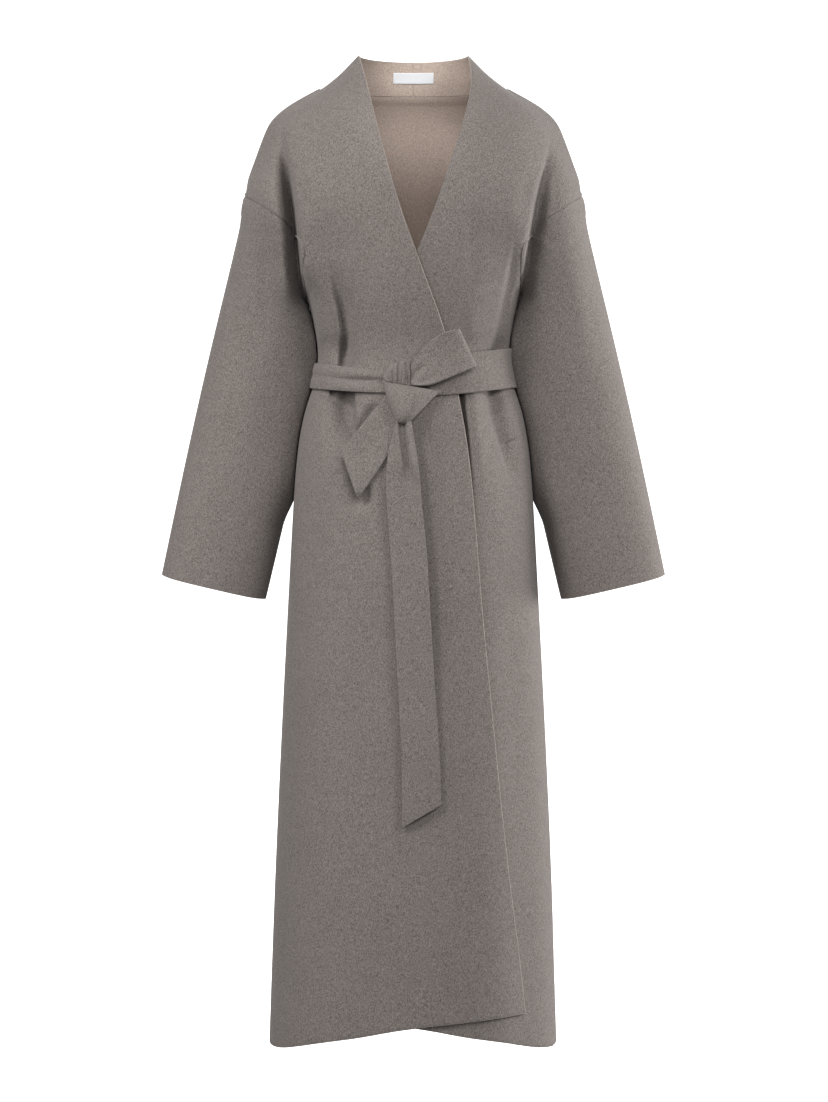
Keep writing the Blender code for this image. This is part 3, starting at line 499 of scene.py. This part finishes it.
def arm_middle_x(height):
    """How far from the coat's middle a sleeve's own middle line is, at a height in the frame."""
    share = (ARMHOLE_MIDDLE[2] - height) / (ARMHOLE_MIDDLE[2] - CUFF_MIDDLE[2])
    return ARMHOLE_MIDDLE[0] + share * (CUFF_MIDDLE[0] - ARMHOLE_MIDDLE[0])


def arm_middle(point):
    """The middle line of the sleeve that a point is on."""
    return type(point)((math.copysign(arm_middle_x(point.z), point.x), ARMHOLE_MIDDLE[1], point.z))


sleeve_left = outer_sheet("sleeve_left", "sleeve_left_cloth", arm_middle)
sleeve_right = outer_sheet("sleeve_right", "sleeve_right_cloth", arm_middle)
for piece in (sleeve_left, sleeve_right):
    move_armhole_seam(piece)
    refine(piece, ARMHOLE_SLITS, STEEP_REACH, FRONT)
    press_creases(piece, ARMHOLE_CREASES + SLEEVE_CREASES, FRONT)

# %% Tucking the sleeves in
UNDERARM = 1.012
UNDERARM_FADE = 0.030
TUCK_IN = 0.034
TUCK_BACK = 0.012
TUCK_LIMIT = 0.070        # the back of the sleeve hangs free
TUCK_FADE = 0.060
TUCK_FOOT = 0.700
FOOT_FADE = 0.100
TUCKED = 0.01             # a share of the tuck below this counts as none
TUCK_TURNS = 4
SLEEVE_CLEAR = 0.0018
SKIN_REACH = 0.05


def rim_edges(piece):
    """The edges of a sheet that lie on its open rim."""
    faces_at = Counter(edge for face in piece.data.polygons for edge in face.edge_keys)
    return np.array(sorted(edge for edge, count in faces_at.items() if count == 1))


def joint_skin(panels):
    """One skin over several panels, to measure the distance to them."""
    corners = []
    faces = []
    for panel in panels:
        faces += [[len(corners) + row for row in face.vertices] for face in panel.data.polygons]
        corners += [vertex.co for vertex in panel.data.vertices]
    return BVHTree.FromPolygons(corners, faces)


def relax(points, pairs, rows):
    """Move some points to the middle of their neighbours."""
    total = np.zeros_like(points)
    count = np.zeros(len(points))
    for one, other in ((0, 1), (1, 0)):
        np.add.at(total, pairs[:, one], points[pairs[:, other]])
        np.add.at(count, pairs[:, one], 1)
    points[rows] = total[rows] / count[rows, None]


def tuck_sleeve(sleeve, panels):
    """Draw the inner side of a hanging sleeve in behind the body, and keep it clear of the panels."""
    points = points_of(sleeve)
    side = math.copysign(1, points[0, 0])
    height = points[:, 2] + HOLD_HEIGHT
    inside = soft_step((arm_middle_x(points[:, 2]) - side * points[:, 0]) / TUCK_FADE)
    inside *= soft_step((TUCK_LIMIT - points[:, 1]) / TUCK_FADE)
    hanging = soft_step((UNDERARM - height) / UNDERARM_FADE) * soft_step((height - TUCK_FOOT) / FOOT_FADE)
    points[:, 0] -= side * TUCK_IN * inside * hanging
    points[:, 1] += TUCK_BACK * inside * hanging
    skin = joint_skin(panels)
    pairs = np.array([edge.vertices for edge in sleeve.data.edges])
    moved = np.setdiff1d(np.flatnonzero(inside * hanging > TUCKED), rim_edges(sleeve))
    for _ in range(TUCK_TURNS):
        relax(points, pairs, moved)
        for row in moved:
            place, normal, _, _ = skin.find_nearest(points[row], SKIN_REACH)
            if place is not None:
                clear = normal.dot(Vector(points[row]) - place)
                if clear < SLEEVE_CLEAR:
                    points[row] += np.array(normal) * (SLEEVE_CLEAR - clear)
    set_points(sleeve, points)


tuck_sleeve(sleeve_left, (front_left, back))
tuck_sleeve(sleeve_right, (front_right, back))

# %% Bringing rims together
def nearest(points, targets):
    """For each point, the nearest target's row number and its distance."""
    tree = KDTree(len(targets))
    for row, target in enumerate(targets):
        tree.insert(target, row)
    tree.balance()
    found = [tree.find(point) for point in points]
    return np.array([row for _, row, _ in found]), np.array([gap for _, _, gap in found])


def onto_edges(points, starts, ends):
    """The nearest place to each point on a chain of straight edges."""
    run = ends - starts
    share = np.einsum("pek,ek->pe", points[:, None] - starts, run) / np.maximum((run ** 2).sum(1), 1e-12)
    places = starts + np.clip(share, 0, 1)[:, :, None] * run
    best = np.linalg.norm(points[:, None] - places, axis=2).argmin(1)
    return places[np.arange(len(points)), best]


def ease(points, rows, shift, reach):
    """Move some points by a shift, and the cloth around them along with them."""
    row, gap = nearest(points, points[rows])
    return points + shift[row] * (1 - soft_step(gap / reach))[:, None]


# %% Sewing the sleeves on
SEAM_EASE = 0.045         # the pull of the seam fades over this much of the sleeve
PANEL_EASE = 0.015
PANEL_REACH = 0.012       # a panel's rim this near to the sleeve's is part of the seam
SEAM_GROOVE = 0.0010
CUFF_CLEAR = 0.12


def sew_sleeve(sleeve, panels):
    """Bring the top rim of a sleeve and the rims of the panels around it together."""
    points = points_of(sleeve)
    edges = rim_edges(sleeve)
    edges = edges[points[edges[:, 0], 2] > CUFF_MIDDLE[2] + CUFF_CLEAR]
    top = np.unique(edges)
    seats = np.vstack([points_of(panel)[np.unique(rim_edges(panel))] for panel in panels])
    row, gap = nearest(points[top], seats)
    points = ease(points, top, seats[row] - points[top], SEAM_EASE)
    middle = np.array(ARMHOLE_MIDDLE) * (math.copysign(1, points[0, 0]), 1, 1)
    for panel in panels:
        cloth = points_of(panel)
        rim = np.unique(rim_edges(panel))
        away = nearest(cloth[rim], points[top])[1]
        rim = rim[away < PANEL_REACH]
        places = onto_edges(cloth[rim], points[edges[:, 0]], points[edges[:, 1]])
        inward = (middle - places) / np.linalg.norm(middle - places, axis=1)[:, None]
        cloth = ease(cloth, rim, places - cloth[rim], PANEL_EASE)
        cloth[rim] += inward * SEAM_GROOVE
        set_points(panel, cloth)
    inward = (middle - points[top]) / np.linalg.norm(middle - points[top], axis=1)[:, None]
    points[top] += inward * SEAM_GROOVE
    set_points(sleeve, points)
    moved = round(float(gap.max()) * 1000, 1)
    print(sleeve.name, "is sewn on along", len(top), "points, moved by up to", moved, "mm")
    return points[top]


armholes = np.vstack([
    sew_sleeve(sleeve_left, (front_left, back)),
    sew_sleeve(sleeve_right, (front_right, back)),
])

# %% Sewing the fronts to the back
SIDE_REACH = 0.0015       # a rim this near to the back's is sewn to it
SIDE_STEP = 0.006         # and so are the points of the back's rim that lie this near to those places
SIDE_TOP = 0.98           # the groove down the side starts below this


def sew_front(front, back):
    """Bring a front's rim on to the back's along the neck, shoulder and side, with a groove down the side."""
    cloth = points_of(front)
    base = points_of(back)
    rim = np.unique(rim_edges(front))
    edges = rim_edges(back)
    places = onto_edges(cloth[rim], base[edges[:, 0]], base[edges[:, 1]])
    met = np.linalg.norm(places - cloth[rim], axis=1) < SIDE_REACH
    cloth[rim[met]] = places[met]
    seat = np.unique(edges)
    side = seat[nearest(base[seat], places[met])[1] < SIDE_STEP]
    for points, rows in ((cloth, rim[met]), (base, side)):
        rows = rows[points[rows, 2] < SIDE_TOP - HOLD_HEIGHT]
        inward = points[rows, :2] / np.linalg.norm(points[rows, :2], axis=1)[:, None]
        points[rows, :2] -= inward * SEAM_GROOVE
    set_points(front, cloth)
    set_points(back, base)
    print(front.name, "is sewn to the back along", int(met.sum()), "points")


for piece in (front_left, front_right):
    sew_front(piece, back)

# %% [markdown]
# # Thickness and edges
# The wool is about 2.5 mm thick. The Solidify modifier lays a second face behind each sheet, and can colour
# the new face and the rim apart, which suits a double-faced cloth. A cut edge of felted wool is soft and
# shows a thin paler line, where the two faces meet, so a small bevel rounds every free rim and takes the
# colour of the edge. A sewn rim stays sharp, so that the seam is shut, and takes the colour of the outer
# face, as does the cloth that is turned in along the front and the foot of an armhole. Only the seam at the
# centre back of the collar is rounded too, which draws its faint line. Last, the allowance of the neck seam
# is felled: it lies flat on the inside of the back as a low ridge.

# %% Thickness
CLOTH = 0.0025            # thickness of the wool
OUTER, INNER, RIM = range(3)


def thicken(piece):
    """Give a sheet its thickness towards the inside, with its two faces and its rim."""
    only(piece)
    for material in (OUTER_WOOL, INNER_WOOL, EDGE_WOOL):
        piece.data.materials.append(material)
    bpy.ops.object.modifier_add(type="SOLIDIFY")
    wall = piece.modifiers[-1]
    wall.thickness = CLOTH
    wall.offset = -1
    wall.material_offset = INNER
    wall.material_offset_rim = RIM
    bpy.ops.object.modifier_apply(modifier=wall.name)


# %% Edges and seams
RIM_ROUND = 0.0011
RIM_STEPS = 2
SEWN = 0.0045             # a rim this near to another panel's is sewn to it
SEAM_ALLOWANCE = 0.012    # the cloth turned in along an armhole
ALLOWANCE_FRONT = -0.030


def is_turned_in(place):
    """Whether a place is at the front or at the foot of an armhole, where the allowance may be seen."""
    return place.y < ALLOWANCE_FRONT or place.z < UNDERARM - HOLD_HEIGHT


def rim_places(piece):
    """Places along the rim of a sheet, four to an edge."""
    points = points_of(piece)
    edges = rim_edges(piece)
    starts, ends = points[edges[:, 0]], points[edges[:, 1]]
    return np.vstack([starts + share * (ends - starts) for share in (0, 0.25, 0.5, 0.75)])


def is_free(places, others):
    """Which places on a rim lie away from the other panels, or on the centre back of the collar."""
    places = np.array(places)
    centre_back = (np.abs(places[:, 0]) < CENTRE_BACK_REACH) & (places[:, 1] > 0)
    return (nearest(places, others)[1] > SEWN) | centre_back


def round_rim(piece, others):
    """Round the two edges of a free rim and give them the colour of the edge."""
    rim_faces = [face for face in piece.data.polygons if face.material_index == RIM]
    uses = Counter(edge for face in rim_faces for edge in face.edge_keys)
    points = points_of(piece)
    outline = [edge for edge in piece.data.edges if uses.get(edge.key) == 1]
    middles = [points[list(edge.vertices)].mean(0) for edge in outline]
    weights = np.zeros(len(piece.data.edges))
    weights[[edge.index for edge in outline]] = is_free(middles, others)
    piece.data.attributes.new("bevel_weight_edge", "FLOAT", "EDGE").data.foreach_set("value", weights)
    bpy.ops.object.modifier_add(type="BEVEL")
    rim = piece.modifiers[-1]
    rim.width = RIM_ROUND
    rim.segments = RIM_STEPS
    rim.limit_method = "WEIGHT"
    rim.material = RIM
    bpy.ops.object.modifier_apply(modifier=rim.name)
    bpy.ops.object.shade_smooth_by_angle(angle=RIM_ANGLE)


def colour_seams(piece, others):
    """Give the sewn rims, and the cloth turned in along the armholes, the colour of the outer face."""
    rim = [face for face in piece.data.polygons if face.material_index == RIM]
    for face, free in zip(rim, is_free([face.center for face in rim], others)):
        if not free:
            face.material_index = OUTER
    inside = [face for face in piece.data.polygons if face.material_index != OUTER]
    inside = [face for face in inside if is_turned_in(face.center)]
    for face, gap in zip(inside, nearest([face.center for face in inside], armholes)[1]):
        if gap < SEAM_ALLOWANCE:
            face.material_index = OUTER


# %% Felling the neck seam
NECK_SEAM = 1.2906
FELL_WIDTH = 0.012
FELL_RISE = 0.0012
FELL_START = 0.001        # the ridge starts this far below the seam
FELL_START_FADE = 0.002
FELL_END_FADE = 0.003
FELL_HALF_LENGTH = 0.095
FELL_SIDE_FADE = 0.010


def fell_neck_seam(piece):
    """Raise the inner face of the back along the neck seam."""
    points = points_of(piece)
    inner = {row for face in piece.data.polygons if face.material_index == INNER for row in face.vertices}
    rows = np.array(sorted(inner))
    below = NECK_SEAM - HOLD_HEIGHT - points[rows, 2]
    rise = FELL_RISE * soft_step((below - FELL_START) / FELL_START_FADE)
    rise *= soft_step((FELL_WIDTH - below) / FELL_END_FADE)
    points[rows, 1] -= rise * soft_step((FELL_HALF_LENGTH - np.abs(points[rows, 0])) / FELL_SIDE_FADE)
    set_points(piece, points)


# %% Finishing the panels
panels = (back, front_left, front_right, sleeve_left, sleeve_right)
rims = {piece.name: rim_places(piece) for piece in panels}
for piece in panels:
    others = np.vstack([rims[other.name] for other in panels if other != piece])
    thicken(piece)
    round_rim(piece, others)
    colour_seams(piece, others)
    print(piece.name, "has", len(piece.data.polygons), "faces")
fell_neck_seam(back)

# %% [markdown]
# # The belt and its tie
# The belt is one strip of the same wool, tied in front in half a bow: the strip round the waist, a gathered
# strap and a wrapped tongue that make the knot, one flat loop and two tails. Its two layers lie close
# together, so each length stays a closed solid, and only its edges are softened. A sharp edge with a part
# crease keeps the cut of the strip under subdivision and is still round to the touch. On the flat tails the
# faces that turn aside take the paler colour of the cut, which there is also a painted highlight where the
# rounded edge catches the light. The folds that the pull of the knot makes are pressed into the outer
# skin alone, so the back of the strip stays where it lies.

# %% Folds of the tie
TIE_FOLDS = {
    # the strip is rolled on the left, so a groove runs along it towards the knot
    "belt_waist": (
        Crease(((-0.112, 0.896), (-0.080, 0.893), (-0.036, 0.890)), 0.0030, 0.0050, 0.0035, 0.05, 0.004),
    ),
    # small pleats that fan out of the knot
    "belt_gather": (
        Crease(((-0.0285, 0.908), (-0.0270, 0.898), (-0.0262, 0.884)), 0.0014, 0.0026, 0.0014, 0.008, 0.003),
        Crease(((-0.0195, 0.917), (-0.0203, 0.900), (-0.0212, 0.884)), 0.0011, 0.0018, 0.0024, 0.004, 0.003),
        Crease(((-0.0150, 0.913), (-0.0148, 0.898), (-0.0165, 0.884)), 0.0010, 0.0012, 0.0012, 0.008, 0.006),
        Crease(((-0.0098, 0.916), (-0.0078, 0.900), (-0.0066, 0.884)), 0.0022, 0.0010, 0.0022, 0.005, 0.003),
    ),
    # soft folds from the root of the loop
    "belt_loop": (
        Crease(((-0.004, 0.890), (0.006, 0.902), (0.020, 0.916)), 0.0030, 0.0060, 0.0042, 0.006, 0.020),
        Crease(((0.004, 0.886), (0.020, 0.892), (0.036, 0.902)), 0.0030, 0.0035, 0.0016, 0.008, 0.020),
    ),
    # the tail comes out of the knot in two folds with a cleft between them
    "belt_tail_long": (
        Crease(((-0.0225, 0.848), (-0.0190, 0.812), (-0.0145, 0.780), (-0.0120, 0.750)),
               0.0090, 0.0028, -0.0065, 0.004, 0.04),
        Crease(((-0.0095, 0.848), (-0.0070, 0.812), (-0.0030, 0.780), (-0.0010, 0.750)),
               0.0024, 0.0060, -0.0070, 0.004, 0.04),
    ),
}
# the short tail stands off the front along its left side
TAIL_LIFT = (
    Crease(((-0.045, 0.870), (-0.0953, 0.796), (-0.0769, 0.734)), 0.016, 0.016, -0.005, 0.05, 0.01),
)
print("folds are drawn on", len(TIE_FOLDS), "lengths of the belt")

# %% Belt
EDGE_CREASE = 0.52
FLAT_LENGTHS = ("belt_tail_short", "belt_tail_long")
EDGE_AND_HIGHLIGHT_TURN = 0.6           # a face of a flat length that is turned aside this far is part of its edge
TIE_LEVELS = {"belt_gather": 3, "belt_knot": 4, "belt_tail_long": 4, "belt_loop": 3}


def soft_solid(node, name, levels):
    """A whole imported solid, smoothed, with its sharp edges softly rounded."""
    piece = copy_solid(node, name)
    bpy.ops.object.mode_set(mode="EDIT")
    bpy.ops.mesh.select_mode(type="EDGE")
    bpy.ops.mesh.select_all(action="DESELECT")
    bpy.ops.mesh.edges_select_sharp(sharpness=RIM_ANGLE)
    bpy.ops.transform.edge_crease(value=EDGE_CREASE)
    bpy.ops.object.mode_set(mode="OBJECT")
    smooth(piece, levels)
    print(piece.name, "has", len(piece.data.polygons), "faces")
    return piece


belt = {}
for node in ("belt_waist", "belt_gather", "belt_knot", "belt_loop", "belt_tail_short", "belt_tail_long"):
    belt[node] = soft_solid(node, node + "_cloth", TIE_LEVELS.get(node, SHEET_LEVELS))
    belt[node].data.materials.append(OUTER_WOOL)
    # on the flat tails the faces turned aside get the paler edge colour: the cut's own colour and a painted
    # highlight
    if node in FLAT_LENGTHS:
        belt[node].data.materials.append(EDGE_WOOL)
        for face in belt[node].data.polygons:
            face.material_index = int(abs(face.normal.y) < EDGE_AND_HIGHLIGHT_TURN)
    if node in TIE_FOLDS:
        press_creases(belt[node], TIE_FOLDS[node], FRONT, skin_only=True)
press_creases(belt["belt_tail_short"], TAIL_LIFT, FRONT)

# %% [markdown]
# # The neck label
# A short tape of white satin weave is sewn inside the collar at the centre back. It is bare. Its weave is too
# fine to model, so two sets of fine bands, across each other, shade and raise it a little, as the threads of
# the tape do. They follow the object's own axes, because the tape is flat and level.

# %% Neck label
LABEL_LEVELS = 2
THREADS = 420             # bands to the metre
TAPE_DARK = (0.66, 0.67, 0.69, 1)
TAPE_LIGHT = (0.80, 0.81, 0.83, 1)


def tape(name):
    """A fine white tape whose threads cross."""
    material = bpy.data.materials.new(name)
    material.use_nodes = True
    nodes = material.node_tree.nodes
    links = material.node_tree.links
    shader = nodes["Principled BSDF"]
    shader.inputs["Roughness"].default_value = 0.55
    shader.inputs["Sheen Weight"].default_value = 0.2
    place = nodes.new("ShaderNodeTexCoord")
    bands = []
    for direction in ("X", "Z"):
        band = nodes.new("ShaderNodeTexWave")
        band.bands_direction = direction
        band.inputs["Scale"].default_value = THREADS
        links.new(place.outputs["Object"], band.inputs["Vector"])
        bands.append(band)
    cross = nodes.new("ShaderNodeMath")
    cross.operation = "MULTIPLY"
    links.new(bands[0].outputs["Fac"], cross.inputs[0])
    links.new(bands[1].outputs["Fac"], cross.inputs[1])
    colours = nodes.new("ShaderNodeValToRGB")
    colours.color_ramp.elements[0].color = TAPE_DARK
    colours.color_ramp.elements[1].color = TAPE_LIGHT
    links.new(cross.outputs[0], colours.inputs["Fac"])
    links.new(colours.outputs["Color"], shader.inputs["Base Color"])
    raise_threads = nodes.new("ShaderNodeBump")
    raise_threads.inputs["Strength"].default_value = 0.2
    raise_threads.inputs["Distance"].default_value = 0.0002
    links.new(cross.outputs[0], raise_threads.inputs["Height"])
    links.new(raise_threads.outputs["Normal"], shader.inputs["Normal"])
    return material


label = soft_solid("neck_label", "neck_label_tape", LABEL_LEVELS)
label.data.materials.append(tape("label_tape"))

# %% [markdown]
# # What each piece stands for
# Every piece rides on the one body that the coat is and takes the place of its imported solid. A table lists
# for each the finish that it stands for, the rectangle that it is cut from and the area of the cut itself, in
# metres and square metres, how it is held and what it rests on. The belt is one strip 54 mm wide, and each of
# its lengths is given by the stretch of that strip that it takes.

# %% Riding and the cuts
STRIP = 0.054
pieces = {
    "back": back,
    "front_left": front_left,
    "front_right": front_right,
    "sleeve_left": sleeve_left,
    "sleeve_right": sleeve_right,
    **belt,
    "neck_label": label,
}
Cut = namedtuple("Cut", "node slot width length area held rests_on")
CUTS = (
    Cut("back", "wool", 0.640, 1.240, 0.637, "hung", ()),
    Cut("front_left", "wool", 0.460, 1.320, 0.394, "hung", ("back_cloth",)),
    Cut("front_right", "wool", 0.460, 1.320, 0.414, "hung", ("back_cloth",)),
    Cut("sleeve_left", "wool", 0.480, 0.520, 0.210, "hung", ("front_left_cloth", "back_cloth")),
    Cut("sleeve_right", "wool", 0.480, 0.520, 0.210, "hung", ("front_right_cloth", "back_cloth")),
    Cut("belt_waist", "wool", STRIP, 0.700, 0.0373, "folded", ("front_right_cloth", "back_cloth")),
    Cut("belt_gather", "wool", STRIP, 0.030, 0.0013, "gathered", ("belt_waist_cloth",)),
    Cut("belt_knot", "wool", STRIP, 0.065, 0.0034, "folded", ("belt_waist_cloth",)),
    Cut("belt_loop", "wool", STRIP, 0.180, 0.0094, "folded", ("belt_waist_cloth",)),
    Cut("belt_tail_short", "wool", STRIP, 0.115, 0.0060, "hung", ("belt_knot_cloth",)),
    Cut("belt_tail_long", "wool", STRIP, 0.500, 0.0262, "hung", ("belt_knot_cloth",)),
    Cut("neck_label", "label", 0.056, 0.0165, 0.0009, "laid", ("front_left_cloth", "front_right_cloth")),
)
for cut in CUTS:
    piece = pieces[cut.node]
    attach(piece, "root")
    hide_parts(cut.node)
print(len(CUTS), "pieces ride, cut from", round(sum(cut.area for cut in CUTS), 3), "square metres")

# %% [markdown]
# # Floor and backdrop
# The coat hangs in front of a white sweep: a floor that curves up into a wall, with no line between them. A
# plane is extruded upwards at its back edge, and the corner is rounded with a wide bevel. The paper shines a
# little, so that it comes out white, but it is kept out of the light that falls on the coat, which would
# otherwise be lit evenly from below.

# %% Floor and backdrop
FLOOR_DROP = 0.25         # the hem hangs this far above the floor
FLOOR_SIZE = 14
FLOOR_FORWARD = -2
WALL_HEIGHT = 7
SWEEP = 3
SWEEP_STEPS = 24
PAPER_GLOW = 1.0

bpy.ops.object.select_all(action="DESELECT")
bpy.ops.mesh.primitive_plane_add(size=FLOOR_SIZE, location=(0, FLOOR_FORWARD, -HOLD_HEIGHT - FLOOR_DROP))
floor = bpy.context.object
floor.name = "pale_floor"
bpy.ops.object.mode_set(mode="EDIT")
bpy.ops.mesh.select_mode(type="EDGE")
bpy.ops.mesh.select_all(action="DESELECT")
bpy.ops.object.mode_set(mode="OBJECT")
for edge in floor.data.edges:
    edge.select = all(floor.data.vertices[index].co.y > 0 for index in edge.vertices)
bpy.ops.object.mode_set(mode="EDIT")
bpy.ops.mesh.extrude_region_move(TRANSFORM_OT_translate={"value": (0, 0, WALL_HEIGHT)})
bpy.ops.mesh.select_all(action="DESELECT")
bpy.ops.object.mode_set(mode="OBJECT")
bpy.ops.object.transform_apply(location=True, rotation=True, scale=True)
bpy.ops.object.modifier_add(type="BEVEL")
sweep = floor.modifiers[-1]
sweep.width = SWEEP
sweep.segments = SWEEP_STEPS
bpy.ops.object.modifier_apply(modifier=sweep.name)
bpy.ops.object.shade_smooth()

paper = bpy.data.materials.new("pale_paper")
paper.use_nodes = True
paper_shader = paper.node_tree.nodes["Principled BSDF"]
paper_shader.inputs["Base Color"].default_value = (0.9, 0.9, 0.9, 1)
paper_shader.inputs["Emission Color"].default_value = (1, 1, 1, 1)
paper_shader.inputs["Emission Strength"].default_value = PAPER_GLOW
floor.data.materials.append(paper)
floor.visible_diffuse = False
floor.visible_glossy = False
print("the floor lies", FLOOR_DROP, "m below the hem")

# %% [markdown]
# # Light
# The picture is lit softly from all round. A box light high on the left lays the shadow of the hanging tail
# to its right, others at the front and the right keep the chest and the sleeves even, and two low ones on the
# right brighten that side below the sleeve. One more stands behind, so that the back can be seen. A narrow
# spot reaches into the neck. The plain white world fills the shadows, and the Standard view keeps white
# paper white.

# %% Light
WORLD_STRENGTH = 0.20
Lamp = namedtuple("Lamp", "name place aim size watts")
LAMPS = (
    Lamp("left_light", (-2.0, -2.3, 2.0), (0, 0, -0.5), 0.9, 76),
    Lamp("left_side_light", (-3.3, -1.3, 0.45), (0, 0, -0.6), 1.2, 50),
    Lamp("front_light", (0.0, -4.8, 0.6), (0, 0, -0.5), 1.6, 66),
    Lamp("right_light", (2.2, -2.4, 1.6), (0, 0, -0.5), 1.4, 68),
    Lamp("right_side_light", (3.2, 0.1, -0.5), (0, 0, -0.7), 1.4, 30),
    Lamp("right_back_light", (3.0, 0.8, -0.4), (0, 0, -0.7), 1.0, 95),
    Lamp("back_light", (-0.8, 3.2, 1.0), (0, 0, -0.5), 1.6, 70),
)
NECK_LAMP = (0, -1.8, -0.15)
NECK_AIM = (0, 0.10, -0.026)
NECK_WATTS = 95
NECK_SPREAD = math.radians(4.2)
NECK_LAMP_SIZE = 0.06


def aimed(place, aim):
    """The turn that points a light from one place at another."""
    way = [a - p for a, p in zip(aim, place)]
    return math.atan2(math.hypot(way[0], way[1]), -way[2]), 0, math.atan2(-way[0], way[1])


world = bpy.data.worlds.new("studio")
world.use_nodes = True
world.node_tree.nodes["Background"].inputs["Color"].default_value = (1, 1, 1, 1)
world.node_tree.nodes["Background"].inputs["Strength"].default_value = WORLD_STRENGTH
bpy.context.scene.world = world
bpy.context.scene.view_settings.view_transform = "Standard"
for lamp in LAMPS:
    bpy.ops.object.select_all(action="DESELECT")
    bpy.ops.object.light_add(type="AREA", location=lamp.place, rotation=aimed(lamp.place, lamp.aim))
    light = bpy.context.object
    light.name = lamp.name
    light.data.size = lamp.size
    light.data.energy = lamp.watts
bpy.ops.object.select_all(action="DESELECT")
bpy.ops.object.light_add(type="SPOT", location=NECK_LAMP, rotation=aimed(NECK_LAMP, NECK_AIM))
light = bpy.context.object
light.name = "neck_light"
light.data.energy = NECK_WATTS
light.data.spot_size = NECK_SPREAD
light.data.spot_blend = 1.0
light.data.shadow_soft_size = NECK_LAMP_SIZE
print("lit by", len(LAMPS) + 1, "lights")
